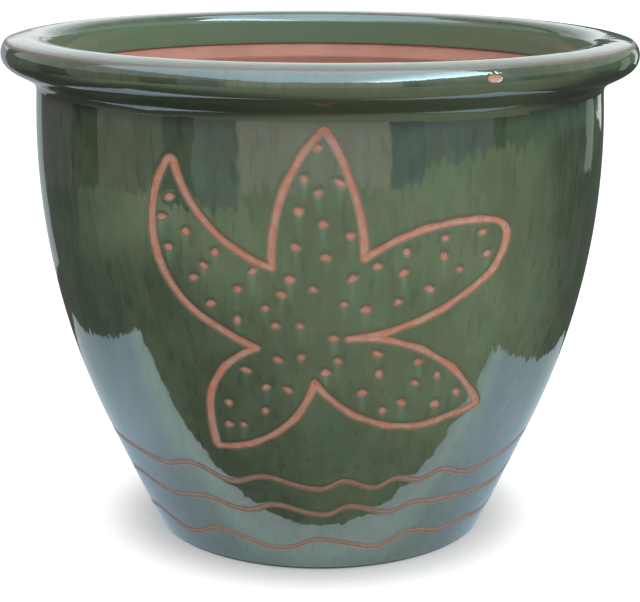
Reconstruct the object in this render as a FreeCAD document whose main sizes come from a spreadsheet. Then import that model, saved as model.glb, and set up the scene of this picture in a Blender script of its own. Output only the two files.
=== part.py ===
# Glazed garden pot: a turned terracotta body in three joined pieces, and the coat of glaze over it.
# A starfish and three wavy lines are drawn through the coat to the bare clay, so they divide it into islands.
# Millimetres, +Z up, the standing face at Z = 0 on the pot's axis, the starfish facing -Y.
import FreeCAD
import Part
import Sketcher
import math
import os

# Driving dimensions, in millimetres, and angles in degrees
SIZES = (
    # Glazed outside of the wall: a bowed upper part on a straight cone
    ("pot_height", 320),
    ("belly_diameter", 360),
    ("belly_height", 258),
    ("bow_radius", 460),
    ("taper_height", 70),
    # Clay wall, floor and foot
    ("wall_thickness", 13),
    ("floor_height", 18),
    ("foot_hollow", 4),
    ("foot_ring_width", 20),
    ("foot_round", 6),
    ("drain_diameter", 28),
    ("drain_bevel", 1.5),
    ("cove_radius", 16),
    ("cove_toe", 1.5),
    # Rolled rim, sizes of its glazed outside
    ("rim_height", 31.5),
    ("rim_overhang", 20),
    ("rim_width", 29),
    ("crest_inset", 17),
    ("crown_radius", 40),
    ("edge_round", 4),
    ("face_lean", 16),
    ("lip_round", 7),
    ("throat_depth", 22),
    # Glaze and the lines drawn through it
    ("glaze_coat", 1.4),
    ("glaze_seam", 0.1),
    ("star_neck_gap", 6.5),
    ("star_wave_gap", 25),
    ("star_groove_width", 4.4),
    ("dot_diameter", 4.8),
    ("lower_wave_height", 21),
    ("middle_wave_rise", 25.5),
    ("upper_wave_rise", 21.5),
    ("wave_swing", 4),
    ("wave_groove_width", 3.2),
    # How far a cutting solid reaches past what it cuts
    ("cut_overrun", 6),
)

# Outline of the starfish's island of glaze, in shares of its span from its centre: each corner, then the
# middle of the arc that leads to the next corner. It starts at the tip of the left arm and goes down that
# arm's outer side. The notches between arms are as round as the tool that drew them.
STAR_OUTLINE_SHARES = (
    (-0.414, 0.365), (-0.453, 0.260), (-0.451, 0.131), (-0.398, 0.006),
    (-0.300, -0.080), (-0.236, -0.117), (-0.173, -0.148), (-0.166, -0.158),
    (-0.173, -0.168), (-0.266, -0.237), (-0.306, -0.361), (-0.301, -0.428),
    (-0.290, -0.485), (-0.130, -0.421), (-0.026, -0.257), (-0.017, -0.248),
    (-0.006, -0.253), (0.125, -0.372), (0.292, -0.411), (0.375, -0.393),
    (0.448, -0.372), (0.301, -0.191), (0.077, -0.136), (0.069, -0.125),
    (0.077, -0.114), (0.280, -0.067), (0.463, 0.042), (0.502, 0.097),
    (0.515, 0.154), (0.502, 0.178), (0.474, 0.189), (0.297, 0.179),
    (0.128, 0.102), (0.117, 0.101), (0.111, 0.111), (0.081, 0.305),
    (0.009, 0.459), (-0.086, 0.306), (-0.121, 0.085), (-0.125, 0.075),
    (-0.135, 0.074), (-0.313, 0.187),
)

# Poked dots, arm by arm, in shares of the starfish's span from its centre
DOT_SHARES = {
    "top arm": (
        (-0.006, 0.421), (-0.043, 0.337), (0.055, 0.326), (-0.004, 0.299), (-0.057, 0.247),
        (0.009, 0.212), (0.084, 0.178), (-0.066, 0.146), (0.017, 0.117),
    ),
    "left arm": (
        (-0.417, 0.268), (-0.440, 0.209), (-0.372, 0.174), (-0.423, 0.123), (-0.290, 0.121),
        (-0.322, 0.079), (-0.352, 0.042), (-0.185, 0.073), (-0.228, 0.018), (-0.305, -0.031),
        (-0.230, -0.074), (-0.152, -0.035),
    ),
    "middle": (
        (0.158, 0.089), (-0.083, 0.052), (-0.019, 0.025), (0.090, 0.055), (-0.106, 0.008),
        (0.067, -0.020), (0.127, -0.037), (-0.123, -0.086), (-0.055, -0.084), (0.038, -0.122),
    ),
    "right arm": (
        (0.347, 0.159), (0.238, 0.126), (0.453, 0.165), (0.469, 0.100), (0.344, 0.106),
        (0.390, 0.063), (0.231, 0.066), (0.305, 0.013), (0.217, -0.019),
    ),
    "lower right arm": (
        (0.162, -0.175), (0.167, -0.238), (0.278, -0.209), (0.336, -0.260), (0.270, -0.276),
        (0.395, -0.325), (0.120, -0.297), (0.233, -0.338), (0.332, -0.355), (0.179, -0.359),
        (0.050, -0.192), (0.016, -0.230),
    ),
    "lower left arm": (
        (-0.117, -0.191), (-0.052, -0.181), (-0.209, -0.229), (-0.152, -0.280), (-0.091, -0.286),
        (-0.262, -0.341), (-0.156, -0.358), (-0.263, -0.415), (-0.220, -0.412),
    ),
}

# Hand-drawn turns of the wavy lines at the front: degrees round from the front, share of the swing
UPPER_WAVE_SHARES = (
    (-60, 0.7), (-43, 0.1), (-33, 1.4), (-22, -0.6), (-14, 0.8), (0, -1.1), (6, 0.3), (14, -1.2),
    (19, 0.2), (25, -0.7), (31, 0.4), (42, -1.5), (54, -0.4),
)
MIDDLE_WAVE_SHARES = (
    (-61, 0.5), (-44, -0.5), (-32, 0.7), (-20, -0.5), (-12, 1.0), (1, -0.6), (8, 0.8), (19, -0.8),
    (25, 0.3), (35, -0.2), (46, -0.6), (58, -0.9),
)
LOWER_WAVE_SHARES = (
    (-60, 0.5), (-44, -1.2), (-31, 1.0), (-12, -1.1), (0, 0.9), (17, -1.0), (28, 1.0), (40, -0.3),
    (50, 0.1), (62, -0.4),
)
# Behind, the lines go on in even turns
BACK_TURN_DEGREES = 14
BACK_SWING_SHARE = 0.8
FULL_TURN_DEGREES = 360
# A wavy line is worked out at these steps and drawn in runs of so many steps
WAVE_STEP_DEGREES = 3
WAVE_RUN_STEPS = 5

doc = FreeCAD.newDocument("garden_pot")
sheet = doc.addObject("Spreadsheet::Sheet", "Sizes")
for row, (alias, value) in enumerate(SIZES, start=1):
    sheet.set(f"A{row}", alias)
    sheet.set(f"B{row}", str(value))
    sheet.setAlias(f"B{row}", alias)
doc.recompute()


def size(expression):
    """The number that an expression on the sheet's cells gives."""
    result = sheet.evalExpression(expression)
    return float(getattr(result, "Value", result))


# Turned profile of the wall, as expressions on the sheet's cells. A depth is measured square to the
# glazed face: GLAZED is that face itself, COAT_BACK is the back of the coat, a thin seam off the CLAY face
# that carries it, and INSIDE is the wall's inside.
GLAZED = "0"
CLAY = "Sizes.glaze_coat"
COAT_BACK = "(Sizes.glaze_coat - Sizes.glaze_seam)"
INSIDE = "(Sizes.glaze_coat + Sizes.wall_thickness)"
BOW_CENTRE = "(Sizes.belly_diameter / 2 - Sizes.bow_radius)"
TAPER = "asin((Sizes.belly_height - Sizes.taper_height) / Sizes.bow_radius)"
NECK_Z = "(Sizes.pot_height - Sizes.rim_height)"
FLOOR_Z = "Sizes.floor_height"
FOOT_END_Z = f"(Sizes.foot_round * (1 - sin({TAPER})))"


def bow_radius(depth):
    """Radius of the bowed upper wall's curve."""
    return f"(Sizes.bow_radius - {depth})"


def bow_r(depth, height):
    """Distance of the bowed wall from the axis."""
    return f"({BOW_CENTRE} + sqrt({bow_radius(depth)}^2 - ({height} - Sizes.belly_height)^2))"


def turn_r(depth):
    """Distance from the axis where the bow turns into the cone."""
    return f"({BOW_CENTRE} + {bow_radius(depth)} * cos({TAPER}))"


def turn_z(depth):
    """Height where the bow turns into the cone."""
    return f"(Sizes.belly_height - {bow_radius(depth)} * sin({TAPER}))"


def cone_r(depth, height):
    """Distance of the straight cone from the axis."""
    return f"({turn_r(depth)} - ({turn_z(depth)} - {height}) * tan({TAPER}))"


# Rim section: a crown over the crest, a small round at the outer edge, a rolled face down to the neck and
# a round lip into the throat. The two rounds touch the crown from inside, so their heights follow from it.
RIM_R = "(Sizes.belly_diameter / 2 + Sizes.rim_overhang)"
CREST_R = f"({RIM_R} - Sizes.crest_inset)"
CROWN_Z = "(Sizes.pot_height - Sizes.crown_radius)"
EDGE_R = f"({RIM_R} - Sizes.edge_round)"
EDGE_SPAN = "(Sizes.crown_radius - Sizes.edge_round)"
EDGE_RISE = f"sqrt({EDGE_SPAN}^2 - ({EDGE_R} - {CREST_R})^2)"
EDGE_Z = f"({CROWN_Z} + {EDGE_RISE})"
LIP_R = f"({RIM_R} - Sizes.rim_width + Sizes.lip_round)"
LIP_SPAN = "(Sizes.crown_radius - Sizes.lip_round)"
LIP_RISE = f"sqrt({LIP_SPAN}^2 - ({CREST_R} - {LIP_R})^2)"
LIP_Z = f"({CROWN_Z} + {LIP_RISE})"
LEAN_COS = "cos(Sizes.face_lean * 1deg)"
LEAN_SIN = "sin(Sizes.face_lean * 1deg)"
THROAT_Z = "(Sizes.pot_height - Sizes.throat_depth)"


def rim_outside(depth):
    """The rim's outside from the neck over the crest and down the throat, as corners with their arcs."""
    edge = f"(Sizes.edge_round - {depth})"
    lip = f"(Sizes.lip_round - {depth})"
    neck_r = bow_r(depth, NECK_Z)
    face_top_r = f"({EDGE_R} + {edge} * {LEAN_COS})"
    face_top_z = f"({EDGE_Z} - {edge} * {LEAN_SIN})"
    run = f"({face_top_r} - {neck_r})"
    rise = f"({face_top_z} - {NECK_Z})"
    # The rolled face leaves the edge round at its lean and passes through the neck
    face_radius = f"({run}^2 + {rise}^2) / (2 * ({run} * {LEAN_COS} - {rise} * {LEAN_SIN}))"
    return [
        (neck_r, NECK_Z, face_radius),
        (face_top_r, face_top_z, edge),
        (
            f"{EDGE_R} + {edge} * ({EDGE_R} - {CREST_R}) / {EDGE_SPAN}",
            f"{EDGE_Z} + {edge} * {EDGE_RISE} / {EDGE_SPAN}",
            f"(Sizes.crown_radius - {depth})",
        ),
        (
            f"{LIP_R} - {lip} * ({CREST_R} - {LIP_R}) / {LIP_SPAN}",
            f"{LIP_Z} + {lip} * {LIP_RISE} / {LIP_SPAN}",
            lip,
        ),
        (f"{LIP_R} - {lip}", LIP_Z, None),
        (f"{LIP_R} - {lip}", THROAT_Z, None),
    ]


def wall_outside(depth):
    """The wall's outside from the foot's round up to the neck, as corners with their arcs."""
    return [
        (cone_r(depth, FOOT_END_Z), FOOT_END_Z, None),
        (turn_r(depth), turn_z(depth), bow_radius(depth)),
        (bow_r(depth, NECK_Z), NECK_Z, None),
    ]


def backwards(path):
    """The same path from its end to its start, with its arcs turning the other way."""
    arcs = [None] + [arc and f"-{arc}" for _, _, arc in path[:-1]]
    return [(r, z, arc) for (r, z, _), arc in zip(reversed(path), reversed(arcs))]


def arc_curve(start, end, radius):
    """The shorter arc from start to end, turning left, or right where the radius is negative."""
    chord = end - start
    half = chord.Length / 2
    left = FreeCAD.Vector(-chord.y, chord.x, 0).normalize()
    reach = math.sqrt(radius ** 2 - half ** 2)
    centre = (start + end) / 2 + left * math.copysign(reach, radius)
    first, last = (start, end) if radius > 0 else (end, start)
    angles = [math.atan2(point.y - centre.y, point.x - centre.x) for point in (first, last)]
    return Part.ArcOfCircle(Part.Circle(centre, FreeCAD.Vector(0, 0, 1), abs(radius)), *angles)


def bind(sketch, constraint, expression):
    """Add a dimension to a sketch and tie it to an expression."""
    row = sketch.addConstraint(constraint)
    sketch.setExpression(f"Constraints[{row}]", expression)


def bind_point(sketch, element, vertex, x, y):
    """Tie a sketch point to two expressions, measured from the sketch's origin."""
    bind(sketch, Sketcher.Constraint("DistanceX", -1, 1, element, vertex, size(x)), x)
    bind(sketch, Sketcher.Constraint("DistanceY", -1, 1, element, vertex, size(y)), y)


def draw_loop(sketch, corners):
    """Draw a closed loop of corners: x, y, and the radius of the arc to the next corner or None."""
    points = [FreeCAD.Vector(size(x), size(y), 0) for x, y, _ in corners]
    sides = []
    for start, end, (_, _, arc) in zip(points, points[1:] + points[:1], corners):
        if arc is None:
            curve, vertices = Part.LineSegment(start, end), (1, 2)
        else:
            radius = size(arc)
            # A sketch keeps every arc turning left, so one that turns right starts at its second vertex
            curve, vertices = arc_curve(start, end, radius), (1, 2) if radius > 0 else (2, 1)
        sides.append((sketch.addGeometry(curve, False), vertices))
    for index, (x, y, arc) in enumerate(corners):
        element, (start_vertex, _) = sides[index]
        before, (_, end_vertex) = sides[index - 1]
        sketch.addConstraint(Sketcher.Constraint("Coincident", before, end_vertex, element, start_vertex))
        bind_point(sketch, element, start_vertex, x, y)
        if arc is not None:
            bind(sketch, Sketcher.Constraint("Radius", element, abs(size(arc))), f"abs({arc})")


def turned(label, corners):
    """A body turned round the pot's axis from a closed section of corners."""
    body = doc.addObject("PartDesign::Body", label)
    sketch = body.newObject("Sketcher::SketchObject", f"{label}_section")
    plane = next(item for item in body.Origin.OriginFeatures if item.Role == "XZ_Plane")
    sketch.AttachmentSupport = [(plane, "")]
    sketch.MapMode = "FlatFace"
    draw_loop(sketch, corners)
    revolution = body.newObject("PartDesign::Revolution", f"{label}_turned")
    revolution.Profile = sketch
    revolution.ReferenceAxis = (sketch, ["V_Axis"])
    revolution.Angle = FULL_TURN_DEGREES
    body.Tip = revolution
    return body


def combined(kind, label, base, tool):
    """A boolean of two objects: Cut or Common."""
    result = doc.addObject(f"Part::{kind}", label)
    result.Base = base
    result.Tool = tool
    return result


# Floor of the pot: a standing ring with a round outer edge, hollow inside the ring, and a drain hole whose
# edges are wiped off
FOOT_R = f"({cone_r(CLAY, FOOT_END_Z)} - Sizes.foot_round * cos({TAPER}))"
RING_R = f"({FOOT_R} - Sizes.foot_ring_width)"
DRAIN_R = "(Sizes.drain_diameter / 2)"
BEVEL_R = f"({DRAIN_R} + Sizes.drain_bevel)"
base_slab = turned("base_slab", [
    (BEVEL_R, FLOOR_Z, None),
    (DRAIN_R, f"{FLOOR_Z} - Sizes.drain_bevel", None),
    (DRAIN_R, "Sizes.foot_hollow + Sizes.drain_bevel", None),
    (BEVEL_R, "Sizes.foot_hollow", None),
    (f"{RING_R} - Sizes.foot_hollow", "Sizes.foot_hollow", None),
    (RING_R, "0", None),
    (FOOT_R, "0", "Sizes.foot_round"),
    (cone_r(CLAY, FOOT_END_Z), FOOT_END_Z, None),
    (cone_r(CLAY, FLOOR_Z), FLOOR_Z, None),
])

# Thrown wall: stands on the floor, with a cove of clay pressed into the corner inside
COVE_Z = "(Sizes.floor_height + Sizes.cove_toe)"
COVE_TANGENT = f"(Sizes.cove_radius * tan((90deg - {TAPER}) / 2))"
COVE_R = f"({cone_r(INSIDE, COVE_Z)} - {COVE_TANGENT})"
COVE_TOP_Z = f"({COVE_Z} + {COVE_TANGENT} * cos({TAPER}))"
pot_wall = turned("pot_wall", [
    (COVE_R, FLOOR_Z, None),
    (cone_r(CLAY, FLOOR_Z), FLOOR_Z, None),
    (turn_r(CLAY), turn_z(CLAY), bow_radius(CLAY)),
    (bow_r(CLAY, NECK_Z), NECK_Z, None),
    (bow_r(INSIDE, NECK_Z), NECK_Z, f"-{bow_radius(INSIDE)}"),
    (turn_r(INSIDE), turn_z(INSIDE), None),
    (cone_r(INSIDE, COVE_TOP_Z), COVE_TOP_Z, "-Sizes.cove_radius"),
    (COVE_R, COVE_Z, None),
])

# Rolled rim: a thick ring joined on the wall, bevelled below its throat to meet the wall's inside
rim_roll = turned("rim_roll", rim_outside(CLAY) + [(bow_r(INSIDE, NECK_Z), NECK_Z, None)])

# Glaze over the rim and down its throat, and the coat over the wall before it is drawn on
rim_glaze = turned("rim_glaze", rim_outside(GLAZED) + backwards(rim_outside(COAT_BACK)))
wall_coat = turned("wall_coat", wall_outside(GLAZED) + backwards(wall_outside(COAT_BACK)))


def wave_turns(front_shares):
    """Turns of a wavy line all the way round: the drawn ones in front, then even ones behind."""
    first, last = front_shares[0], front_shares[-1]
    gap = first[0] + FULL_TURN_DEGREES - last[0]
    count = round(gap / BACK_TURN_DEGREES)
    side = -math.copysign(BACK_SWING_SHARE, last[1])
    back = [(last[0] + gap * step / count, side * (-1) ** (step - 1)) for step in range(1, count)]
    return list(front_shares) + back + [(first[0] + FULL_TURN_DEGREES, first[1])]


def wave_share(turns, degrees):
    """Share of the swing that a wavy line has at an angle: it eases from each turn to the next."""
    degrees = (degrees - turns[0][0]) % FULL_TURN_DEGREES + turns[0][0]
    for (before, start), (after, end) in zip(turns, turns[1:]):
        if degrees <= after:
            ease = (1 - math.cos(math.pi * (degrees - before) / (after - before))) / 2
            return start + (end - start) * ease


def wave_level(height, front_shares):
    """Heights of a wavy line at even steps round the pot, from the front."""
    swing = size("Sizes.wave_swing")
    turns = wave_turns(front_shares)
    steps = range(0, FULL_TURN_DEGREES, WAVE_STEP_DEGREES)
    return [height + swing * wave_share(turns, degrees) for degrees in steps]


def flat_level(height):
    """Heights of a level line, in the same steps."""
    return [height] * (FULL_TURN_DEGREES // WAVE_STEP_DEGREES)


def lifted(level, rise):
    """The same line moved up."""
    return [height + rise for height in level]


def ring_runs(level, radius):
    """A line round the axis as smooth runs end to end."""
    points = []
    for step, height in enumerate(level):
        angle = math.radians(step * WAVE_STEP_DEGREES)
        points.append(FreeCAD.Vector(radius * math.sin(angle), -radius * math.cos(angle), height))
    count = len(points)
    runs = []
    for start in range(0, count, WAVE_RUN_STEPS):
        ends = (start, (start + WAVE_RUN_STEPS) % count)
        leave, arrive = (points[(end + 1) % count] - points[end - 1] for end in ends)
        run = [points[(start + step) % count] for step in range(WAVE_RUN_STEPS + 1)]
        curve = Part.BSplineCurve()
        curve.interpolate(Points=run, InitialTangent=leave, FinalTangent=arrive)
        runs.append(curve.toShape())
    return runs


def wavy_ring(label, lower, upper):
    """A ring right through the coat, between two lines that go round it."""
    inner = size(DRAIN_R)
    outer = size(f"{RIM_R} + Sizes.cut_overrun")
    corners = ((lower, inner), (lower, outer), (upper, outer), (upper, inner))
    lines = [ring_runs(level, radius) for level, radius in corners]
    faces = [
        Part.makeRuledSurface(*pair)
        for one, other in zip(lines, lines[1:] + lines[:1])
        for pair in zip(one, other)
    ]
    shell = Part.Shell(faces)
    shell.sewShape()
    ring = doc.addObject("Part::Feature", label)
    ring.Shape = Part.Solid(shell)
    return ring


# Levels of the drawn lines. A drawn line takes half its width from the band on each side.
half_groove = size("Sizes.wave_groove_width / 2")
lower_height = size("Sizes.lower_wave_height")
middle_height = lower_height + size("Sizes.middle_wave_rise")
upper_height = middle_height + size("Sizes.upper_wave_rise")
lower_wave = wave_level(lower_height, LOWER_WAVE_SHARES)
middle_wave = wave_level(middle_height, MIDDLE_WAVE_SHARES)
upper_wave = wave_level(upper_height, UPPER_WAVE_SHARES)
below_foot = flat_level(-size("Sizes.cut_overrun"))
above_neck = flat_level(size(f"{NECK_Z} + Sizes.cut_overrun"))

# Bands of glaze between the wavy lines
foot_ring = wavy_ring("foot_ring", below_foot, lifted(lower_wave, -half_groove))
foot_glaze = combined("Common", "foot_glaze", wall_coat, foot_ring)
lower_ring = wavy_ring("lower_ring", lifted(lower_wave, half_groove), lifted(middle_wave, -half_groove))
lower_wave_glaze = combined("Common", "lower_wave_glaze", wall_coat, lower_ring)
upper_ring = wavy_ring("upper_ring", lifted(middle_wave, half_groove), lifted(upper_wave, -half_groove))
upper_wave_glaze = combined("Common", "upper_wave_glaze", wall_coat, upper_ring)
field_ring = wavy_ring("field_ring", lifted(upper_wave, half_groove), above_neck)
field_coat = combined("Common", "field_coat", wall_coat, field_ring)


# The starfish fills the field between the neck and the upper wavy line, a gap clear of each
STAR_TOP_SHARE = max(share for _, share in STAR_OUTLINE_SHARES)
STAR_FOOT_SHARE = min(share for _, share in STAR_OUTLINE_SHARES)
STAR_TOP_Z = f"({NECK_Z} - Sizes.star_neck_gap)"
STAR_FOOT_Z = "(Sizes.lower_wave_height + Sizes.middle_wave_rise + Sizes.upper_wave_rise + Sizes.star_wave_gap)"
STAR_SPAN = f"(({STAR_TOP_Z} - {STAR_FOOT_Z}) / {STAR_TOP_SHARE - STAR_FOOT_SHARE})"
STAR_Z = f"({STAR_TOP_Z} - {STAR_SPAN} * {STAR_TOP_SHARE})"


def front_sketch(label):
    """A sketch on the upright plane through the axis, with its origin at the starfish's centre."""
    sketch = doc.addObject("Sketcher::SketchObject", label)
    upright = FreeCAD.Rotation(FreeCAD.Vector(1, 0, 0), 90)
    sketch.Placement = FreeCAD.Placement(FreeCAD.Vector(0, 0, 0), upright)
    sketch.setExpression("Placement.Base.z", STAR_Z)
    return sketch


def pushed_forward(label, outline):
    """A solid from an outline on the upright plane, out through the front of the pot."""
    prism = doc.addObject("Part::Extrusion", label)
    prism.Base = outline
    prism.DirMode = "Custom"
    prism.Dir = FreeCAD.Vector(0, -1, 0)
    prism.Solid = True
    prism.setExpression("LengthFwd", f"{RIM_R} + Sizes.cut_overrun")
    return prism


def star_share(share):
    """A share of the starfish's span as an expression."""
    return f"{STAR_SPAN} * {share}"


def star_loop():
    """The starfish's outline as corners with the radii of their arcs."""
    loop = []
    ends = STAR_OUTLINE_SHARES[0::2]
    middles = STAR_OUTLINE_SHARES[1::2]
    for start, middle, end in zip(ends, middles, ends[1:] + ends[:1]):
        a, b, c = (FreeCAD.Vector(x, y, 0) for x, y in (start, middle, end))
        turn = math.copysign(1, (b - a).cross(c - b).z)
        radius = Part.Circle(a, b, c).Radius
        loop.append((star_share(start[0]), star_share(start[1]), star_share(turn * radius)))
    return loop


# Starfish: a groove round its outline parts the field of glaze from the island inside
star_line = front_sketch("star_line")
draw_loop(star_line, star_loop())
groove_line = doc.addObject("Part::Offset2D", "groove_line")
groove_line.Source = star_line
groove_line.setExpression("Value", "Sizes.star_groove_width")
field_glaze = combined("Cut", "field_glaze", field_coat, pushed_forward("star_and_groove", groove_line))
star_island = combined("Common", "star_island", field_coat, pushed_forward("star_prism", star_line))

# Dots poked through the starfish
dot_line = front_sketch("dot_line")
for arm_shares in DOT_SHARES.values():
    for x_share, y_share in arm_shares:
        centre = FreeCAD.Vector(size(star_share(x_share)), size(star_share(y_share)), 0)
        circle = Part.Circle(centre, FreeCAD.Vector(0, 0, 1), size("Sizes.dot_diameter / 2"))
        dot = dot_line.addGeometry(circle, False)
        bind_point(dot_line, dot, 3, star_share(x_share), star_share(y_share))
        bind(dot_line, Sketcher.Constraint("Radius", dot, circle.Radius), "Sizes.dot_diameter / 2")
starfish_glaze = combined("Cut", "starfish_glaze", star_island, pushed_forward("dots", dot_line))

doc.recompute()

pieces = (
    base_slab, pot_wall, rim_roll,
    rim_glaze, field_glaze, starfish_glaze, upper_wave_glaze, lower_wave_glaze, foot_glaze,
)
for item in doc.Objects:
    if "Invalid" in item.State or "Error" in item.State:
        raise RuntimeError(f"{item.Label} did not build: {item.State}")
for piece in pieces:
    if piece.Shape.isNull() or not piece.Shape.isValid():
        raise RuntimeError(f"{piece.Label} has no valid shape")
    print(f"{piece.Label}: {len(piece.Shape.Solids)} solid, {piece.Shape.Volume / 1000:.1f} cm3")

os.makedirs("parts", exist_ok=True)
for piece in pieces:
    piece.Shape.exportStep(f"parts/{piece.Label}.step")
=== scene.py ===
"""Glazed garden pot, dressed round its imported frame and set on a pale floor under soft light.

The pot is terracotta under a dipped green glaze. A starfish, its dots and three wavy lines are cut through
the glaze to the clay, so the coat is modelled as separate islands with soft edges over one clay body.
Lengths are in metres, the pot stands at Z = 0 on its axis, and the starfish faces -Y.
"""
from __future__ import annotations

import logging
import math
from dataclasses import dataclass, field
from enum import Enum
from typing import Any, Sequence

import bpy
import numpy as np
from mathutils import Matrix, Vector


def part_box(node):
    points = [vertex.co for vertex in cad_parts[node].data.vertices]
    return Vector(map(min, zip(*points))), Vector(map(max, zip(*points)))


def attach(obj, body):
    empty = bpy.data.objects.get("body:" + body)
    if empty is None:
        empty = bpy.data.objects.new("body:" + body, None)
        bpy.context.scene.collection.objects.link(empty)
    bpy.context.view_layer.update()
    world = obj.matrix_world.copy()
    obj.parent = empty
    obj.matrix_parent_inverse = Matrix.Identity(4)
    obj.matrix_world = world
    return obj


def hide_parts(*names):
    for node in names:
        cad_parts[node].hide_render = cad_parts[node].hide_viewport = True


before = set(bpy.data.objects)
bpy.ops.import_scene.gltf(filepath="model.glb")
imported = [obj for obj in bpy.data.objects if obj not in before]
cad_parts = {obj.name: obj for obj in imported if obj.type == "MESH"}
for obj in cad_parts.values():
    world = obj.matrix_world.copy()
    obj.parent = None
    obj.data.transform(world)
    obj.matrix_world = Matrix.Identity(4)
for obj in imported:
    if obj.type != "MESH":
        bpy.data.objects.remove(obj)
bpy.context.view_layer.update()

LOG = logging.getLogger("garden_pot")
MM = 0.001
FULL_TURN = 2 * math.pi
SEED = 11
Light = tuple[float, float, float]

# Outline of the starfish's island of glaze, in shares of its span from its centre: each corner, then the
# middle of the arc that leads to the next corner, from the tip of the left arm down its outer side.
STAR_OUTLINE_SHARES = (
    (-0.414, 0.365), (-0.453, 0.260), (-0.451, 0.131), (-0.398, 0.006),
    (-0.300, -0.080), (-0.236, -0.117), (-0.173, -0.148), (-0.166, -0.158),
    (-0.173, -0.168), (-0.266, -0.237), (-0.306, -0.361), (-0.301, -0.428),
    (-0.290, -0.485), (-0.130, -0.421), (-0.026, -0.257), (-0.017, -0.248),
    (-0.006, -0.253), (0.125, -0.372), (0.292, -0.411), (0.375, -0.393),
    (0.448, -0.372), (0.301, -0.191), (0.077, -0.136), (0.069, -0.125),
    (0.077, -0.114), (0.280, -0.067), (0.463, 0.042), (0.502, 0.097),
    (0.515, 0.154), (0.502, 0.178), (0.474, 0.189), (0.297, 0.179),
    (0.128, 0.102), (0.117, 0.101), (0.111, 0.111), (0.081, 0.305),
    (0.009, 0.459), (-0.086, 0.306), (-0.121, 0.085), (-0.125, 0.075),
    (-0.135, 0.074), (-0.313, 0.187),
)

# Poked dots, arm by arm, in shares of the starfish's span from its centre
DOT_SHARES = (
    # Top arm
    (-0.006, 0.421), (-0.043, 0.337), (0.055, 0.326), (-0.004, 0.299), (-0.057, 0.247),
    (0.009, 0.212), (0.084, 0.178), (-0.066, 0.146), (0.017, 0.117),
    # Left arm
    (-0.417, 0.268), (-0.440, 0.209), (-0.372, 0.174), (-0.423, 0.123), (-0.290, 0.121),
    (-0.322, 0.079), (-0.352, 0.042), (-0.185, 0.073), (-0.228, 0.018), (-0.305, -0.031),
    (-0.230, -0.074), (-0.152, -0.035),
    # Middle
    (0.158, 0.089), (-0.083, 0.052), (-0.019, 0.025), (0.090, 0.055), (-0.106, 0.008),
    (0.067, -0.020), (0.127, -0.037), (-0.123, -0.086), (-0.055, -0.084), (0.038, -0.122),
    # Right arm
    (0.347, 0.159), (0.238, 0.126), (0.453, 0.165), (0.469, 0.100), (0.344, 0.106),
    (0.390, 0.063), (0.231, 0.066), (0.305, 0.013), (0.217, -0.019),
    # Lower right arm
    (0.162, -0.175), (0.167, -0.238), (0.278, -0.209), (0.336, -0.260), (0.270, -0.276),
    (0.395, -0.325), (0.120, -0.297), (0.233, -0.338), (0.332, -0.355), (0.179, -0.359),
    (0.050, -0.192), (0.016, -0.230),
    # Lower left arm
    (-0.117, -0.191), (-0.052, -0.181), (-0.209, -0.229), (-0.152, -0.280), (-0.091, -0.286),
    (-0.262, -0.341), (-0.156, -0.358), (-0.263, -0.415), (-0.220, -0.412),
)

# Hand-drawn turns of the wavy lines at the front: degrees round from the front, share of the swing
UPPER_WAVE_SHARES = (
    (-60, 0.7), (-43, 0.1), (-33, 1.4), (-22, -0.6), (-14, 0.8), (0, -1.1), (6, 0.3), (14, -1.2),
    (19, 0.2), (25, -0.7), (31, 0.4), (42, -1.5), (54, -0.4),
)
MIDDLE_WAVE_SHARES = (
    (-61, 0.5), (-44, -0.5), (-32, 0.7), (-20, -0.5), (-12, 1.0), (1, -0.6), (8, 0.8), (19, -0.8),
    (25, 0.3), (35, -0.2), (46, -0.6), (58, -0.9),
)
LOWER_WAVE_SHARES = (
    (-60, 0.5), (-44, -1.2), (-31, 1.0), (-12, -1.1), (0, 0.9), (17, -1.0), (28, 1.0), (40, -0.3),
    (50, 0.1), (62, -0.4),
)


class Slot(Enum):
    """Names of the two materials, clay and glaze; nothing in this script uses them."""

    CLAY = "terracotta"
    GLAZE = "green_glaze"


class Mark(Enum):
    """Named values that the meshes carry at their points for the finishes to read."""

    COAT = "coat_share"
    # Glaze runs below the dots, and painted light in the throat
    RUN_AND_LIGHT = "run_and_light_share"
    # Painted shade on the glaze, with the rim's dark thin edge
    PAINTED_SHADE_AND_EDGE = "darken_share"
    BARE = "bare_share"
    # Brown stain on the clay beside the glaze, and painted shade under its upper edges
    STAIN_AND_SHADE = "stain_share"
    CUT = "cut_share"
    FILM = "film_share"
    FADE = "fade_share"


def linear(colour: str) -> tuple[float, float, float, float]:
    """Turn a written sRGB colour into the linear one that shaders take.

    Args:
        colour: a hex colour such as "#50613F".

    Returns:
        Linear red, green, blue and a full alpha.
    """
    parts = [int(colour[start:start + 2], 16) / 255 for start in (1, 3, 5)]
    red, green, blue = (p / 12.92 if p <= 0.04045 else ((p + 0.055) / 1.055) ** 2.4 for p in parts)
    return red, green, blue, 1.0


def add_node(
    tree: bpy.types.NodeTree,
    kind: str,
    settings: dict[str | int, Any] | None = None,
    links: dict[str | int, bpy.types.NodeSocket] | None = None,
) -> bpy.types.Node:
    """Add a shader node.

    Args:
        tree: the node tree that takes it.
        kind: the node's type.
        settings: properties, by their names, and values of sockets, by their names or places.
        links: output sockets to link to its input sockets.

    Returns:
        The new node.
    """
    made = tree.nodes.new(kind)
    for key, value in (settings or {}).items():
        if isinstance(key, str) and hasattr(made, key):
            setattr(made, key, value)
        else:
            made.inputs[key].default_value = value
    for key, source in (links or {}).items():
        tree.links.new(source, made.inputs[key])
    return made


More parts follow.
